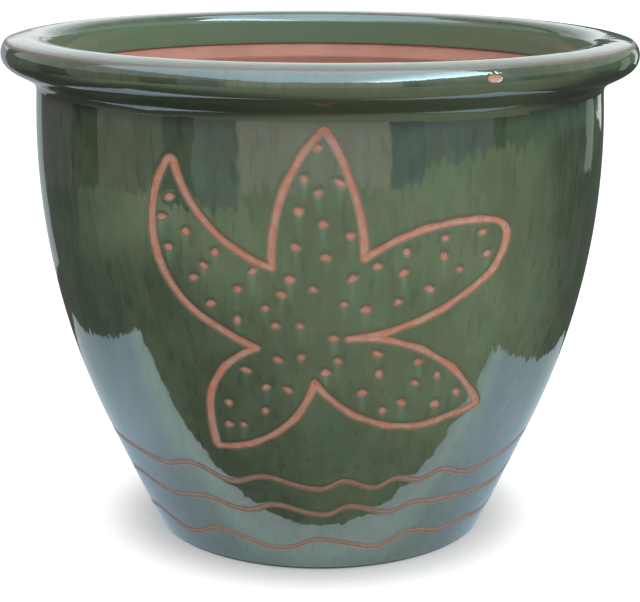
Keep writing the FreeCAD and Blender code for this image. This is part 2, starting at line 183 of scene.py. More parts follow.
@dataclass(frozen=True)
class Pattern:
    """A soft noise with a real size, and the part of it that shows."""

    width: float
    height: float
    detail: float = 2.0
    shows_from: float = 0.0
    full_from: float = 1.0
    most_share: float = 1.0

    def add(self, tree: bpy.types.NodeTree, place: bpy.types.NodeSocket) -> bpy.types.NodeSocket:
        """Add the noise to a material.

        Args:
            tree: the material's node tree.
            place: position on the piece, in metres.

        Returns:
            The noise, about 0.5 in the middle.
        """
        scale = (1 / self.width, 1 / self.width, 1 / self.height)
        stretched = add_node(tree, "ShaderNodeVectorMath", {"operation": "MULTIPLY", 1: scale}, {0: place})
        settings = {"Scale": 1.0, "Detail": self.detail}
        return add_node(tree, "ShaderNodeTexNoise", settings, {"Vector": stretched.outputs[0]}).outputs[0]

    def share(self, tree: bpy.types.NodeTree, place: bpy.types.NodeSocket) -> bpy.types.NodeSocket:
        """Add the part of the noise that shows.

        Args:
            tree: the material's node tree.
            place: position on the piece, in metres.

        Returns:
            How much of it shows, from zero to its most.
        """
        return ranged(tree, self.add(tree, place), self.shows_from, self.full_from, 0.0, self.most_share)


def ranged(
    tree: bpy.types.NodeTree, value: bpy.types.NodeSocket, low: float, high: float, start: float, end: float
) -> bpy.types.NodeSocket:
    """Ease a value from one range to another.

    Args:
        tree: the node tree.
        value: the value to change.
        low: where the change starts.
        high: where it ends.
        start: the result up to low.
        end: the result from high on.

    Returns:
        The eased value.
    """
    made = add_node(
        tree, "ShaderNodeMapRange",
        {"interpolation_type": "SMOOTHSTEP", 1: low, 2: high, 3: start, 4: end}, {0: value},
    )
    return made.outputs[0]


def mixed(
    tree: bpy.types.NodeTree,
    share: bpy.types.NodeSocket,
    one: bpy.types.NodeSocket | str,
    other: bpy.types.NodeSocket | str,
) -> bpy.types.NodeSocket:
    """Mix two colours.

    Args:
        tree: the node tree.
        share: how much of the second colour shows.
        one: the first colour, as a socket or a hex colour.
        other: the second colour.

    Returns:
        The mixed colour.
    """
    settings: dict[str | int, Any] = {"data_type": "RGBA"}
    links: dict[str | int, bpy.types.NodeSocket] = {0: share}
    for place, colour in ((6, one), (7, other)):
        if isinstance(colour, str):
            settings[place] = linear(colour)
        else:
            links[place] = colour
    return add_node(tree, "ShaderNodeMix", settings, links).outputs[2]


def marked(tree: bpy.types.NodeTree, mark: Mark) -> bpy.types.NodeSocket:
    """Read one of the values that a mesh carries.

    Args:
        tree: the node tree.
        mark: which value.

    Returns:
        The value, zero where the mesh has none.
    """
    return add_node(tree, "ShaderNodeAttribute", {"attribute_name": mark.value}).outputs["Fac"]


def new_material(name: str) -> tuple[bpy.types.Material, bpy.types.NodeTree, bpy.types.Node]:
    """Start a material.

    Args:
        name: the material's name.

    Returns:
        The material, its emptied node tree and its output node.
    """
    material = bpy.data.materials.new(name)
    material.use_nodes = True
    tree = material.node_tree
    tree.nodes.clear()
    return material, tree, add_node(tree, "ShaderNodeOutputMaterial")


@dataclass(frozen=True)
class DippedGlaze:
    """Green glaze that the pot was dipped in and fired.

    The molten glass ran down in fine streaks and left a wavy, wet shine. It pulled back from cut edges and
    sharp turns, where the coat is thin and the clay shows through it as brown. Its colour also carries
    painted shade along the upper edges of the lines and under the rim, and painted light that pales the
    throat.
    """

    deep: str = "#47533F"
    middle: str = "#57674E"
    pale: str = "#6B7B61"
    dark: str = "#33382B"
    cool: str = "#4D6857"
    thin: str = "#87634C"
    run: str = "#74957A"
    bare: str = "#BC7A5C"
    refraction: float = 1.75
    roughness: float = 0.055
    thin_roughness: float = 0.5
    bare_roughness: float = 0.8
    full_coat_share: float = 0.9
    cloud: Pattern = Pattern(38 * MM, 60 * MM, 3.0, 0.36, 0.64)
    streak: Pattern = Pattern(4.6 * MM, 50 * MM, 3.0, 0.48, 0.75, 0.24)
    mottle: Pattern = Pattern(9 * MM, 17 * MM, 4.0, 0.44, 0.64, 0.52)
    drift: Pattern = Pattern(13 * MM, 24 * MM, 3.0, 0.46, 0.68, 0.42)
    trickle: Pattern = Pattern(5 * MM, 26 * MM, 2.0, 0.57, 0.72, 0.5)
    fleck: Pattern = Pattern(0.9 * MM, 1.3 * MM, 2.0, 0.6, 0.74, 0.16)
    ripple: Pattern = Pattern(5 * MM, 9 * MM)
    sag: Pattern = Pattern(26 * MM, 34 * MM)
    tilt: Pattern = Pattern(3.6 * MM, 20 * MM, 3.0)
    ripple_height: float = 0.022 * MM
    sag_height: float = 0.3 * MM
    tilt_share: float = 0.042

    def material(self) -> bpy.types.Material:
        """Make the material.

        Returns:
            The glaze's material.
        """
        material, tree, output = new_material("green_glaze_dipped_and_fired")
        place = add_node(tree, "ShaderNodeTexCoord").outputs["Object"]
        coat = marked(tree, Mark.COAT)
        bare = marked(tree, Mark.BARE)
        colour = mixed(tree, self.cloud.share(tree, place), self.deep, self.middle)
        for pattern, other in (
            (self.streak, self.pale), (self.mottle, self.deep), (self.drift, self.cool),
            (self.trickle, self.dark), (self.fleck, self.pale),
        ):
            colour = mixed(tree, pattern.share(tree, place), colour, other)
        # Glaze runs below the dots, and the paler throat, which is partly painted light
        colour = mixed(tree, marked(tree, Mark.RUN_AND_LIGHT), colour, self.run)
        colour = mixed(tree, ranged(tree, coat, 0.0, self.full_coat_share, 1.0, 0.0), colour, self.thin)
        # Painted shade along the lines' upper edges and under the rim, and the rim's dark thin edge
        colour = mixed(tree, marked(tree, Mark.PAINTED_SHADE_AND_EDGE), colour, self.dark)
        colour = mixed(tree, bare, colour, self.bare)
        ripple = add_node(
            tree, "ShaderNodeBump", {"Strength": 1.0, "Distance": self.ripple_height},
            {"Height": self.ripple.add(tree, place)},
        )
        sag = add_node(
            tree, "ShaderNodeBump", {"Strength": 1.0, "Distance": self.sag_height},
            {"Height": self.sag.add(tree, place), "Normal": ripple.outputs[0]},
        )
        # The runs lean a little in and out, which frays the edges of what they reflect
        centred = add_node(
            tree, "ShaderNodeMapRange", {1: 0.0, 2: 1.0, 3: -self.tilt_share, 4: self.tilt_share},
            {0: self.tilt.add(tree, place)},
        )
        upright = add_node(tree, "ShaderNodeCombineXYZ", None, {2: centred.outputs[0]})
        leaning = add_node(tree, "ShaderNodeVectorMath", {"operation": "ADD"}, {
            0: sag.outputs[0], 1: upright.outputs[0],
        })
        normal = add_node(tree, "ShaderNodeVectorMath", {"operation": "NORMALIZE"}, {0: leaning.outputs[0]})
        rough = add_node(tree, "ShaderNodeMath", {"operation": "MAXIMUM"}, {
            0: ranged(tree, bare, 0.0, 1.0, 0.0, self.bare_roughness),
            1: ranged(tree, coat, 0.0, self.full_coat_share, self.thin_roughness, self.roughness),
        })
        surface = add_node(
            tree, "ShaderNodeBsdfPrincipled", {"IOR": self.refraction},
            {"Base Color": colour, "Roughness": rough.outputs[0], "Normal": normal.outputs[0]},
        )
        tree.links.new(surface.outputs[0], output.inputs[0])
        return material


@dataclass(frozen=True)
class FiredClay:
    """Terracotta as it came from the kiln.

    A matt, slightly gritty surface with faint clouds. Beside the glaze it is stained brown, and painted
    darker still under the glaze's upper edges as painted shade. A thin film of glaze is left in the wavy
    lines, so they shine a little.
    """

    body: str = "#C08066"
    cloudy: str = "#B3755C"
    grit: str = "#8F6250"
    stain_and_shade: str = "#6E4631"
    cut: str = "#CE8464"
    cut_pale: str = "#CB9883"
    refraction: float = 1.5
    roughness: float = 0.88
    film_shine: float = 0.35
    film_roughness: float = 0.12
    film_refraction: float = 1.6
    cloud: Pattern = Pattern(30 * MM, 22 * MM, 3.0, 0.38, 0.66)
    patch: Pattern = Pattern(5 * MM, 6 * MM, 3.0, 0.4, 0.62)
    fleck: Pattern = Pattern(0.8 * MM, 0.8 * MM, 2.0, 0.62, 0.74, 0.55)
    tooth: Pattern = Pattern(1.1 * MM, 0.9 * MM, 3.0)
    tooth_height: float = 0.22 * MM

    def material(self) -> bpy.types.Material:
        """Make the material.

        Returns:
            The clay's material.
        """
        material, tree, output = new_material("terracotta_thrown_and_fired")
        place = add_node(tree, "ShaderNodeTexCoord").outputs["Object"]
        colour = mixed(tree, self.cloud.share(tree, place), self.body, self.cloudy)
        bed = mixed(tree, self.patch.share(tree, place), self.cut, self.cut_pale)
        colour = mixed(tree, marked(tree, Mark.CUT), colour, bed)
        colour = mixed(tree, self.fleck.share(tree, place), colour, self.grit)
        # Brown stain beside the glaze, and painted shade under its upper edges
        colour = mixed(tree, marked(tree, Mark.STAIN_AND_SHADE), colour, self.stain_and_shade)
        film = ranged(tree, marked(tree, Mark.FILM), 0.0, 1.0, 0.0, self.film_shine)
        bump = add_node(
            tree, "ShaderNodeBump", {"Strength": 1.0, "Distance": self.tooth_height},
            {"Height": self.tooth.add(tree, place)},
        )
        surface = add_node(
            tree, "ShaderNodeBsdfPrincipled",
            {
                "IOR": self.refraction, "Roughness": self.roughness,
                "Coat Roughness": self.film_roughness, "Coat IOR": self.film_refraction,
            },
            {"Base Color": colour, "Normal": bump.outputs[0], "Coat Weight": film},
        )
        tree.links.new(surface.outputs[0], output.inputs[0])
        return material


@dataclass(frozen=True)
class HandThrown:
    """How far the pot strays from a true turned form, as a hand-thrown one does."""

    height: float
    rim_dip: float = 1.8 * MM
    squeeze: float = 0.7 * MM
    squeeze_turn: float = math.radians(35)

    def place(self, angle: np.ndarray, radius: np.ndarray, level: np.ndarray) -> np.ndarray:
        """Turn places round the axis into points.

        Args:
            angle: turn from the front, towards +X.
            radius: distance from the axis.
            level: height.

        Returns:
            An array of points.
        """
        rise_share = np.clip(level / self.height, 0, 1)
        drop = self.rim_dip * (1 + np.sin(angle)) / 2 * rise_share ** 3
        inset = self.squeeze * (1 - np.cos(2 * (angle - self.squeeze_turn))) / 2 * rise_share
        reach = radius - inset
        return np.stack([reach * np.sin(angle), -reach * np.cos(angle), level - drop], axis=-1)


def new_piece(
    name: str, points: np.ndarray, faces: list[list[int]], marks: dict[Mark, np.ndarray],
    material: bpy.types.Material,
) -> bpy.types.Object:
    """Make a smooth mesh object.

    Args:
        name: the object's name.
        points: its points.
        faces: corner places of its faces.
        marks: values that its points carry.
        material: its finish.

    Returns:
        The object, in the scene.
    """
    mesh = bpy.data.meshes.new(name)
    mesh.from_pydata(points.tolist(), [], faces)
    mesh.shade_smooth()
    for mark, values in marks.items():
        carried = mesh.attributes.new(mark.value, "FLOAT", "POINT")
        carried.data.foreach_set("value", values.astype(np.float32))
    mesh.materials.append(material)
    made = bpy.data.objects.new(name, mesh)
    bpy.context.scene.collection.objects.link(made)
    return made


def stand_in(piece: bpy.types.Object, node: str) -> None:
    """Let a piece stand for a node of the frame.

    Args:
        piece: the new object.
        node: the node it replaces.
    """
    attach(piece, "root")
    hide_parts(node)
    LOG.info("%s: %d faces, stands for %s", piece.name, len(piece.data.polygons), node)


@dataclass(frozen=True)
class WallForm:
    """The clay face of the wall and foot as a path from the foot's round up to the neck.

    The glazed face is a bow on a straight cone, and the clay lies one coat inside it.
    """

    belly_radius: float
    neck_height: float
    belly_height: float = 258 * MM
    bow_radius: float = 460 * MM
    taper_height: float = 70 * MM
    foot_round: float = 6 * MM
    foot_start: float = math.radians(-62)
    coat: float = 1.4 * MM
    wall_thickness: float = 13 * MM
    hollow_radius: float = 9 * MM
    hollow_reach: float = 2 * MM

    @property
    def taper(self) -> float:
        """Angle at which the cone's face looks down."""
        return math.asin((self.belly_height - self.taper_height) / self.bow_radius)

    @property
    def foot_end(self) -> float:
        """Height where the cone runs out into the foot's round."""
        return self.foot_round * (1 - math.sin(self.taper))

    def face(self, level: np.ndarray, depth: float) -> tuple[np.ndarray, np.ndarray, np.ndarray]:
        """Places on the wall at a depth square to the glazed face.

        Args:
            level: heights on the glazed face.
            depth: distance inwards.

        Returns:
            Distances from the axis, heights, and angles at which the face looks down.
        """
        bow = np.clip((self.belly_height - level) / self.bow_radius, -1, math.sin(self.taper))
        lean = np.arcsin(bow)
        centre = self.belly_radius - self.bow_radius
        turn = centre + self.bow_radius * math.cos(self.taper)
        fall = np.clip(self.taper_height - level, 0, None)
        radius = np.where(level < self.taper_height, turn - fall * math.tan(self.taper), 0)
        radius = np.where(level < self.taper_height, radius, centre + self.bow_radius * np.cos(lean))
        if depth <= self.coat:
            # Below the rim the outside turns out into the hollow
            above = np.clip(level - self.neck_height + self.hollow_reach, 0, self.hollow_reach)
            radius = radius + self.hollow_radius - np.sqrt(self.hollow_radius ** 2 - above ** 2)
            lean = lean + np.arcsin(above / self.hollow_radius)
        return radius - depth * np.cos(lean), level + depth * np.sin(lean), lean

    def clay_end(self) -> tuple[float, float]:
        """Where the cone of clay meets the foot's round.

        Returns:
            Distance from the axis, and the height on the glazed face that lies square to it.
        """
        level = self.foot_end - self.coat * math.sin(self.taper)
        radius, _, _ = self.face(np.array([level]), self.coat)
        return float(radius[0]), level

    @property
    def foot_radius(self) -> float:
        """Outer radius of the standing ring."""
        return self.clay_end()[0] - self.foot_round * math.cos(self.taper)


@dataclass
class DrawnLines:
    """The starfish, its dots and the wavy lines, as distances from their edges."""

    star_height: float
    star_span: float
    star_groove: float = 4.4 * MM
    groove_stray: float = 0.26 * MM
    creep: float = 0.15 * MM
    dot_size: float = 4.7 * MM
    dot_stray_share: float = 0.22
    two_lobe_share: float = 0.06
    three_lobe_share: float = 0.05
    two_lobe_turn: float = 5
    three_lobe_turn: float = 9
    most_run_share: float = 0.6
    run_ratio: float = 3
    lower_height: float = 21 * MM
    middle_rise: float = 25.5 * MM
    upper_rise: float = 21.5 * MM
    swing: float = 4 * MM
    wave_groove: float = 2.9 * MM
    wave_stray: float = 0.3 * MM
    wave_stray_turns: tuple[int, int, int] = (23, 27, 31)
    wave_stray_beat: int = 11
    groove_stray_turns: tuple[int, int] = (61, 37)
    groove_stray_rises: tuple[float, float] = (9 * MM, -14 * MM)
    back_turn: float = 14
    back_swing_share: float = 0.8
    arc_steps: int = 16
    outline: np.ndarray = field(init=False)
    dots: np.ndarray = field(init=False)

    def __post_init__(self) -> None:
        """Work out the outline and the dots."""
        shares = np.array(STAR_OUTLINE_SHARES) * self.star_span
        ends, middles = shares[0::2], shares[1::2]
        runs = [self.arc(*corner) for corner in zip(ends, middles, np.roll(ends, -1, axis=0))]
        self.outline = np.concatenate(runs)
        draw = np.random.default_rng(SEED)
        count = len(DOT_SHARES)
        stray = 1 + draw.uniform(-self.dot_stray_share, self.dot_stray_share, (count, 2))
        turn = draw.uniform(0, math.pi, (count, 1))
        sizes = self.dot_size / 2 * stray
        runs = draw.uniform(0, self.most_run_share, (count, 1))
        self.dots = np.concatenate([np.array(DOT_SHARES) * self.star_span, sizes, turn, runs], axis=1)

    def arc(self, start: np.ndarray, middle: np.ndarray, end: np.ndarray) -> np.ndarray:
        """Points along the arc through three points, without its end.

        Args:
            start: first point.
            middle: a point on the arc.
            end: last point.

        Returns:
            An array of points.
        """
        rows = 2 * np.array([middle - start, end - start])
        square = np.array([middle @ middle - start @ start, end @ end - start @ start])
        centre = np.linalg.solve(rows, square)
        angles = np.arctan2(*(np.array([start, middle, end]) - centre).T[::-1])
        to_middle = (angles[1] - angles[0] + math.pi) % FULL_TURN - math.pi
        to_end = (angles[2] - angles[1] + math.pi) % FULL_TURN - math.pi
        sweep = angles[0] + (to_middle + to_end) * np.arange(self.arc_steps) / self.arc_steps
        radius = math.dist(start, centre)
        return centre + radius * np.stack([np.cos(sweep), np.sin(sweep)], axis=1)

    def star_depth(self, across: np.ndarray, level: np.ndarray) -> np.ndarray:
        """How far inside the starfish's island places are, less than zero outside it.

        Args:
            across: places along X.
            level: heights.

        Returns:
            Distances from the outline.
        """
        points = np.stack([across, level - self.star_height], axis=1)
        nearest = np.full(len(points), np.inf)
        inside = np.zeros(len(points), bool)
        for start, end in zip(self.outline, np.roll(self.outline, -1, axis=0)):
            run = end - start
            along = np.clip((points - start) @ run / (run @ run), 0, 1)
            gap = points - start - along[:, None] * run
            nearest = np.minimum(nearest, np.einsum("ij,ij->i", gap, gap))
            crossing = (start[1] > points[:, 1]) != (end[1] > points[:, 1])
            if start[1] != end[1]:
                reach = start[0] + run[0] * (points[:, 1] - start[1]) / run[1]
                inside ^= crossing & (points[:, 0] < reach)
        return np.sqrt(nearest) * np.where(inside, 1, -1)

    def dot_gap(self, across: np.ndarray, level: np.ndarray) -> tuple[np.ndarray, np.ndarray]:
        """Distances from the nearest dot, less than zero inside it, and how much glaze ran below one.

        Args:
            across: places along X.
            level: heights.

        Returns:
            Distances, and shares of a full run.
        """
        nearest = np.full(len(across), np.inf)
        run = np.zeros(len(across))
        run_width = self.dot_size / self.run_ratio
        run_length = self.run_ratio * self.dot_size
        for x, z, wide, high, turn, most in self.dots:
            dx, dz = across - x, level - self.star_height - z
            along = dx * math.cos(turn) + dz * math.sin(turn)
            beside = dz * math.cos(turn) - dx * math.sin(turn)
            # No two pokes of the tool are alike
            round_dot = np.arctan2(beside / high, along / wide)
            lobes = 1 + self.two_lobe_share * np.sin(2 * round_dot + self.two_lobe_turn * turn)
            lobes = lobes + self.three_lobe_share * np.sin(3 * round_dot + self.three_lobe_turn * turn)
            gap = (np.hypot(along / wide, beside / high) / lobes - 1) * min(wide, high)
            nearest = np.minimum(nearest, gap)
            fade = most * np.clip(1 + (dz + high) / run_length, 0, 1) * (dz < 0)
            run = np.maximum(run, np.exp(-(dx / run_width) ** 2) * fade)
        return nearest, run

    def wave(
        self, height: float, front_shares: Sequence[tuple[float, float]], angle: np.ndarray
    ) -> np.ndarray:
        """Heights of a wavy line.

        Args:
            height: its middle height.
            front_shares: its drawn turns in front.
            angle: turns from the front.

        Returns:
            Heights at those angles.
        """
        first, last = front_shares[0], front_shares[-1]
        gap = first[0] + 360 - last[0]
        count = round(gap / self.back_turn)
        side = -math.copysign(self.back_swing_share, last[1])
        back = [(last[0] + gap * step / count, side * (-1) ** (step - 1)) for step in range(1, count)]
        turns = np.array(list(front_shares) + back + [(first[0] + 360, first[1])])
        degrees = (np.degrees(angle) - first[0]) % 360 + first[0]
        before = np.clip(np.searchsorted(turns[:, 0], degrees, side="right") - 1, 0, len(turns) - 2)
        share = (degrees - turns[before, 0]) / (turns[before + 1, 0] - turns[before, 0])
        ease = (1 - np.cos(math.pi * share)) / 2
        return height + self.swing * (turns[before, 1] + (turns[before + 1, 1] - turns[before, 1]) * ease)


@dataclass
class GlazedWall:
    """The wall's islands of glaze and the clay under them, on one grid of columns and rows."""

    form: WallForm
    lines: DrawnLines
    hand: HandThrown
    glaze: bpy.types.Material
    clay: bpy.types.Material
    front_turn: float = math.radians(40)
    front_columns: int = 118
    back_columns: int = 224
    foot_rows: int = 6
    wall_rows: int = 268
    fine_rows: int = 80
    tall: int = 4
    star_margin: int = 8
    star_overlap: int = 4
    least_steep: float = 0.2
    swing_reach: float = 2.5
    edge_round: float = 0.75 * MM
    edge_fade: float = 1.5 * MM
    edge_share: float = 0.97
    edge_shade: float = 2.1 * MM
    top_edge_shade_gain: float = 1.6
    neck_shade_reach: float = 7 * MM
    neck_shade_share: float = 0.8
    sharp_turn: float = math.radians(30)
    lip: float = 0.07 * MM
    lip_reach: float = 3.2 * MM
    lip_end: float = 3
    bury: float = 0.3 * MM
    groove_lift: float = 1.3 * MM
    wave_lift: float = 1.37 * MM
    dot_lift: float = 1.3 * MM
    groove_bowl: float = 0.75 * MM
    dot_bowl: float = 0.9 * MM
    lift_reach: float = 1.2 * MM
    stain_reach: float = 1.1 * MM
    stain_share: float = 0.1
    top_edge_shade_share: float = 0.7
    wave_stain_share: float = 0.5
    film_reach: float = 0.6 * MM
    ring_height: float = 0.3 * MM
    ring_pitch: float = 1.4 * MM
    ring_wander: int = 2
    ring_share: float = 0.6
    ring_swell_share: float = 0.4
    ring_swell: int = 3
    ring_swell_rise: float = 9 * MM
    cove: float = 16 * MM
    cove_toe: float = 1.5 * MM
    cove_steps: int = 10
    inside_end: float = 6 * MM
    inside_rows: int = 96
    skirt: float = 9 * MM
    lowest: float = 0.3 * MM
    columns: np.ndarray = field(init=False)
    rows: np.ndarray = field(init=False)

    def __post_init__(self) -> None:
        """Lay out the grid."""
        form = self.form
        front = np.linspace(-self.front_turn, self.front_turn, 2 * self.front_columns + 1)
        back = np.linspace(self.front_turn, FULL_TURN - self.front_turn, self.back_columns + 1)
        self.columns = np.concatenate([front, back[1:-1]])
        self.front_count = len(front)
        _, start = form.clay_end()
        turn = np.linspace(form.foot_start, -form.taper, self.foot_rows + 1)[:-1]
        levels = np.linspace(start, form.neck_height, self.wall_rows + 1)
        radius, height, lean = form.face(levels, form.coat)
        self.radius = np.concatenate([form.foot_radius + form.foot_round * np.cos(turn), radius])
        self.height = np.concatenate([form.foot_round * (1 + np.sin(turn)), height])
        self.lean = np.concatenate([-turn, lean])
        # The lines are drawn at heights of the glazed face
        self.level = np.concatenate([self.height[:self.foot_rows], levels])
        step = np.hypot(np.diff(self.radius), np.diff(self.height))
        self.rows = np.concatenate([[0], np.cumsum(step)])
        self.cell = self.rows[-1] - self.rows[-2]

    def points(self, angle: np.ndarray, along: np.ndarray, lift: np.ndarray) -> np.ndarray:
        """Points over or under the clay face.

        Args:
            angle: turns from the front.
            along: places along the path up the wall.
            lift: distances out from the clay face.

        Returns:
            An array of points.
        """
        lean = np.interp(along, self.rows, self.lean)
        radius = np.interp(along, self.rows, self.radius) + lift * np.cos(lean)
        height = np.interp(along, self.rows, self.height) - lift * np.sin(lean)
        return self.hand.place(angle, radius, np.maximum(height, self.lowest))

    def faces(self, low: int, high: int) -> tuple[np.ndarray, list[list[int]]]:
        """Cells of the grid between two rows: square in front, and tall ones behind where nothing is drawn.

        Args:
            low: first row.
            high: last row.

        Returns:
            Four-cornered cells as places in the grid, and the many-cornered ones where the two sizes meet.
        """
        count = len(self.columns)
        edge = self.front_count - 1
        split = min(max(self.foot_rows + self.fine_rows, low), high)
        blocks = [(np.arange(low, high), np.arange(edge), 1)]
        behind = np.arange(edge, count)
        blocks.append((np.arange(low, split), behind, 1))
        blocks.append((np.arange(split, high, self.tall), behind[1:-1], self.tall))
        cells = []
        for rows, columns, rise in blocks:
            row, column = (grid.ravel() for grid in np.meshgrid(rows, columns, indexing="ij"))
            beside = (column + 1) % count
            cells.append(np.stack([
                row * count + column, row * count + beside,
                (row + rise) * count + beside, (row + rise) * count + column,
            ], axis=1))
        joins = []
        for row in range(split, high, self.tall):
            steps = range(row, row + self.tall + 1)
            joins.append([step * count + edge for step in reversed(steps)] + [
                row * count + edge + 1, (row + self.tall) * count + edge + 1,
            ])
            joins.append([step * count for step in steps] + [
                (row + self.tall) * count + count - 1, row * count + count - 1,
            ])
        return np.concatenate(cells), joins

    def clearances(self) -> dict[str, np.ndarray]:
        """How far each place on the grid is inside each island of glaze, and inside what is cut through it.

        Returns:
            Distances by name, for every row and column.
        """
        lines, count = self.lines, len(self.columns)
        angle = np.broadcast_to(self.columns, (len(self.rows), count))
        level = np.broadcast_to(self.level[:, None], angle.shape)
        half = lines.wave_groove / 2
        middle_height = lines.lower_height + lines.middle_rise
        heights = (lines.lower_height, middle_height, middle_height + lines.upper_rise)
        shares = (LOWER_WAVE_SHARES, MIDDLE_WAVE_SHARES, UPPER_WAVE_SHARES)
        over = []
        for number, (height, turns) in enumerate(zip(heights, shares)):
            wander = np.sin(angle * lines.wave_stray_turns[number] + number)
            stray = lines.wave_stray * wander * np.sin(angle * lines.wave_stray_beat)
            over.append(level - lines.wave(height, turns, angle) + stray)
        star = np.full(angle.shape, -1.0)
        dots = np.full(angle.shape, 1.0)
        runs = np.zeros(angle.shape)
        front = np.s_[self.foot_rows + self.fine_rows - self.star_margin:, :self.front_count]
        glazed = self.radius + self.form.coat * np.cos(self.lean)
        across = (glazed[:, None] * np.sin(angle))[front].ravel()
        up = level[front].ravel()
        star[front] = lines.star_depth(across, up).reshape(star[front].shape)
        gap, run = lines.dot_gap(across, up)
        dots[front] = gap.reshape(star[front].shape)
        runs[front] = run.reshape(star[front].shape)
        width = lines.star_groove + lines.groove_stray * sum(
            np.sin(angle * turns + level / rise)
            for turns, rise in zip(lines.groove_stray_turns, lines.groove_stray_rises)
        )
        end = np.broadcast_to(self.rows[:, None], angle.shape)
        return {
            "foot": np.minimum(-over[0] - half, end),
            "lower": np.minimum(over[0] - half, -over[1] - half),
            "upper": np.minimum(over[1] - half, -over[2] - half),
            "field": np.minimum(over[2] - half, lines.creep - star - width),
            "star": np.minimum(star + lines.creep, dots),
            "groove": np.minimum(-star, width + star) - lines.creep,
            "dot": -dots,
            "wave": half - np.min(np.abs(over), axis=0),
            "run": runs,
        }

    def coat_share(self, inside: np.ndarray) -> np.ndarray:
        """Thickness of the coat near its edge, as a share of the full coat: rounded, with a low lip.

        Args:
            inside: distances in from the edge.

        Returns:
            Shares.
        """
        edge = np.sqrt(1 - (1 - np.clip(inside / self.edge_round, 0, 1)) ** 2)
        edge = self.edge_share + (1 - self.edge_share) * edge
        rise = np.clip(inside / self.lip_reach, 0, self.lip_end)
        return edge + self.lip / self.form.coat * rise * np.exp(1 - rise)

    def island(
        self, name: str, inside: np.ndarray, run: np.ndarray, low: int, high: int
    ) -> bpy.types.Object:
        """Make one island of glaze as a closed shell.

        Args:
            name: the piece's name.
            inside: distances in from the island's edge on the grid.
            run: how much glaze ran down, on the grid.
            low: first row of the island.
            high: last row.

        Returns:
            The piece.
        """
        angle = np.broadcast_to(self.columns, inside.shape)
        along = np.broadcast_to(self.rows[:, None], inside.shape)
        # Places near the edge move onto it
        steep_up = np.gradient(inside, self.rows, axis=0)
        steep_round = np.gradient(inside, self.columns, axis=1) / self.radius[:, None]
        steep = np.maximum(steep_up ** 2 + steep_round ** 2, self.least_steep)
        near = (inside >= -self.cell / 2) & (inside < self.cell / 2)
        move = np.where(near, inside / steep, 0)
        angle = (angle - move * steep_round / self.radius[:, None]).ravel()
        along = (along - move * steep_up).ravel()
        near = near.ravel()
        depth = np.where(near, 0, inside.ravel())
        kept = near | (depth > 0)
        cells, joins = self.faces(low, high)
        held = kept[cells]
        full = cells[held.all(axis=1)]
        part = cells[held.sum(axis=1) == 3]
        corners = part[kept[part]].reshape(-1, 3)
        skin = full.tolist() + corners.tolist() + [join for join in joins if kept[join].all()]
        touched = [full.ravel(), corners.ravel(), np.array(joins).ravel()]
        used = np.unique(np.concatenate(touched).astype(int))
        used = used[kept[used]]
        front = np.full(len(kept), -1)
        front[used] = np.arange(len(used))
        back = front + len(used)
        share = self.coat_share(depth[used])
        points = np.concatenate([
            self.points(angle[used], along[used], share * self.form.coat),
            self.points(angle[used], along[used], np.full(len(used), -self.bury)),
        ])
        faces = [[front[corner] for corner in face] for face in skin]
        faces += [[back[corner] for corner in reversed(face)] for face in skin]
        # The cut edges are closed
        sides = {(face[i - 1], face[i]) for face in skin for i in range(len(face))}
        for start, end in sides:
            if (end, start) not in sides:
                faces.append([front[end], front[start], back[start], back[end]])
        blank = np.zeros(len(used))
        # Painted shade: the coat is painted dark along the upper edges of the lines, where it hangs over them
        top_edge_shade = np.clip(steep_up.ravel()[used] * self.top_edge_shade_gain, 0, 1)
        top_edge_shade = top_edge_shade * np.clip(1 - depth[used] / self.edge_shade, 0, 1)
        # It is painted dark under the rim too, as painted shade
        under = np.clip(1 - (self.rows[-1] - along[used]) / self.neck_shade_reach, 0, 1)
        marks = {
            Mark.COAT: np.concatenate([np.clip(depth[used] / self.edge_fade, 0, 1), blank + 1]),
            Mark.RUN_AND_LIGHT: np.concatenate([run.ravel()[used], blank]),
            Mark.PAINTED_SHADE_AND_EDGE: np.concatenate([np.maximum(top_edge_shade, under * self.neck_shade_share), blank]),
        }
        made = new_piece(name, points, faces, marks, self.glaze)
        made.data.set_sharp_from_angle(angle=self.sharp_turn)
        return made

    def clay_wall(self, clear: dict[str, np.ndarray], floor: float) -> bpy.types.Object:
        """Make the clay wall: the beds of the lines outside, and throwing rings inside.

        Args:
            clear: distances from the drawn lines.
            floor: height of the floor that the wall stands on.

        Returns:
            The piece.
        """
        count = len(self.columns)
        low = int(np.searchsorted(self.height, floor - self.skirt))
        high = len(self.rows) - 1
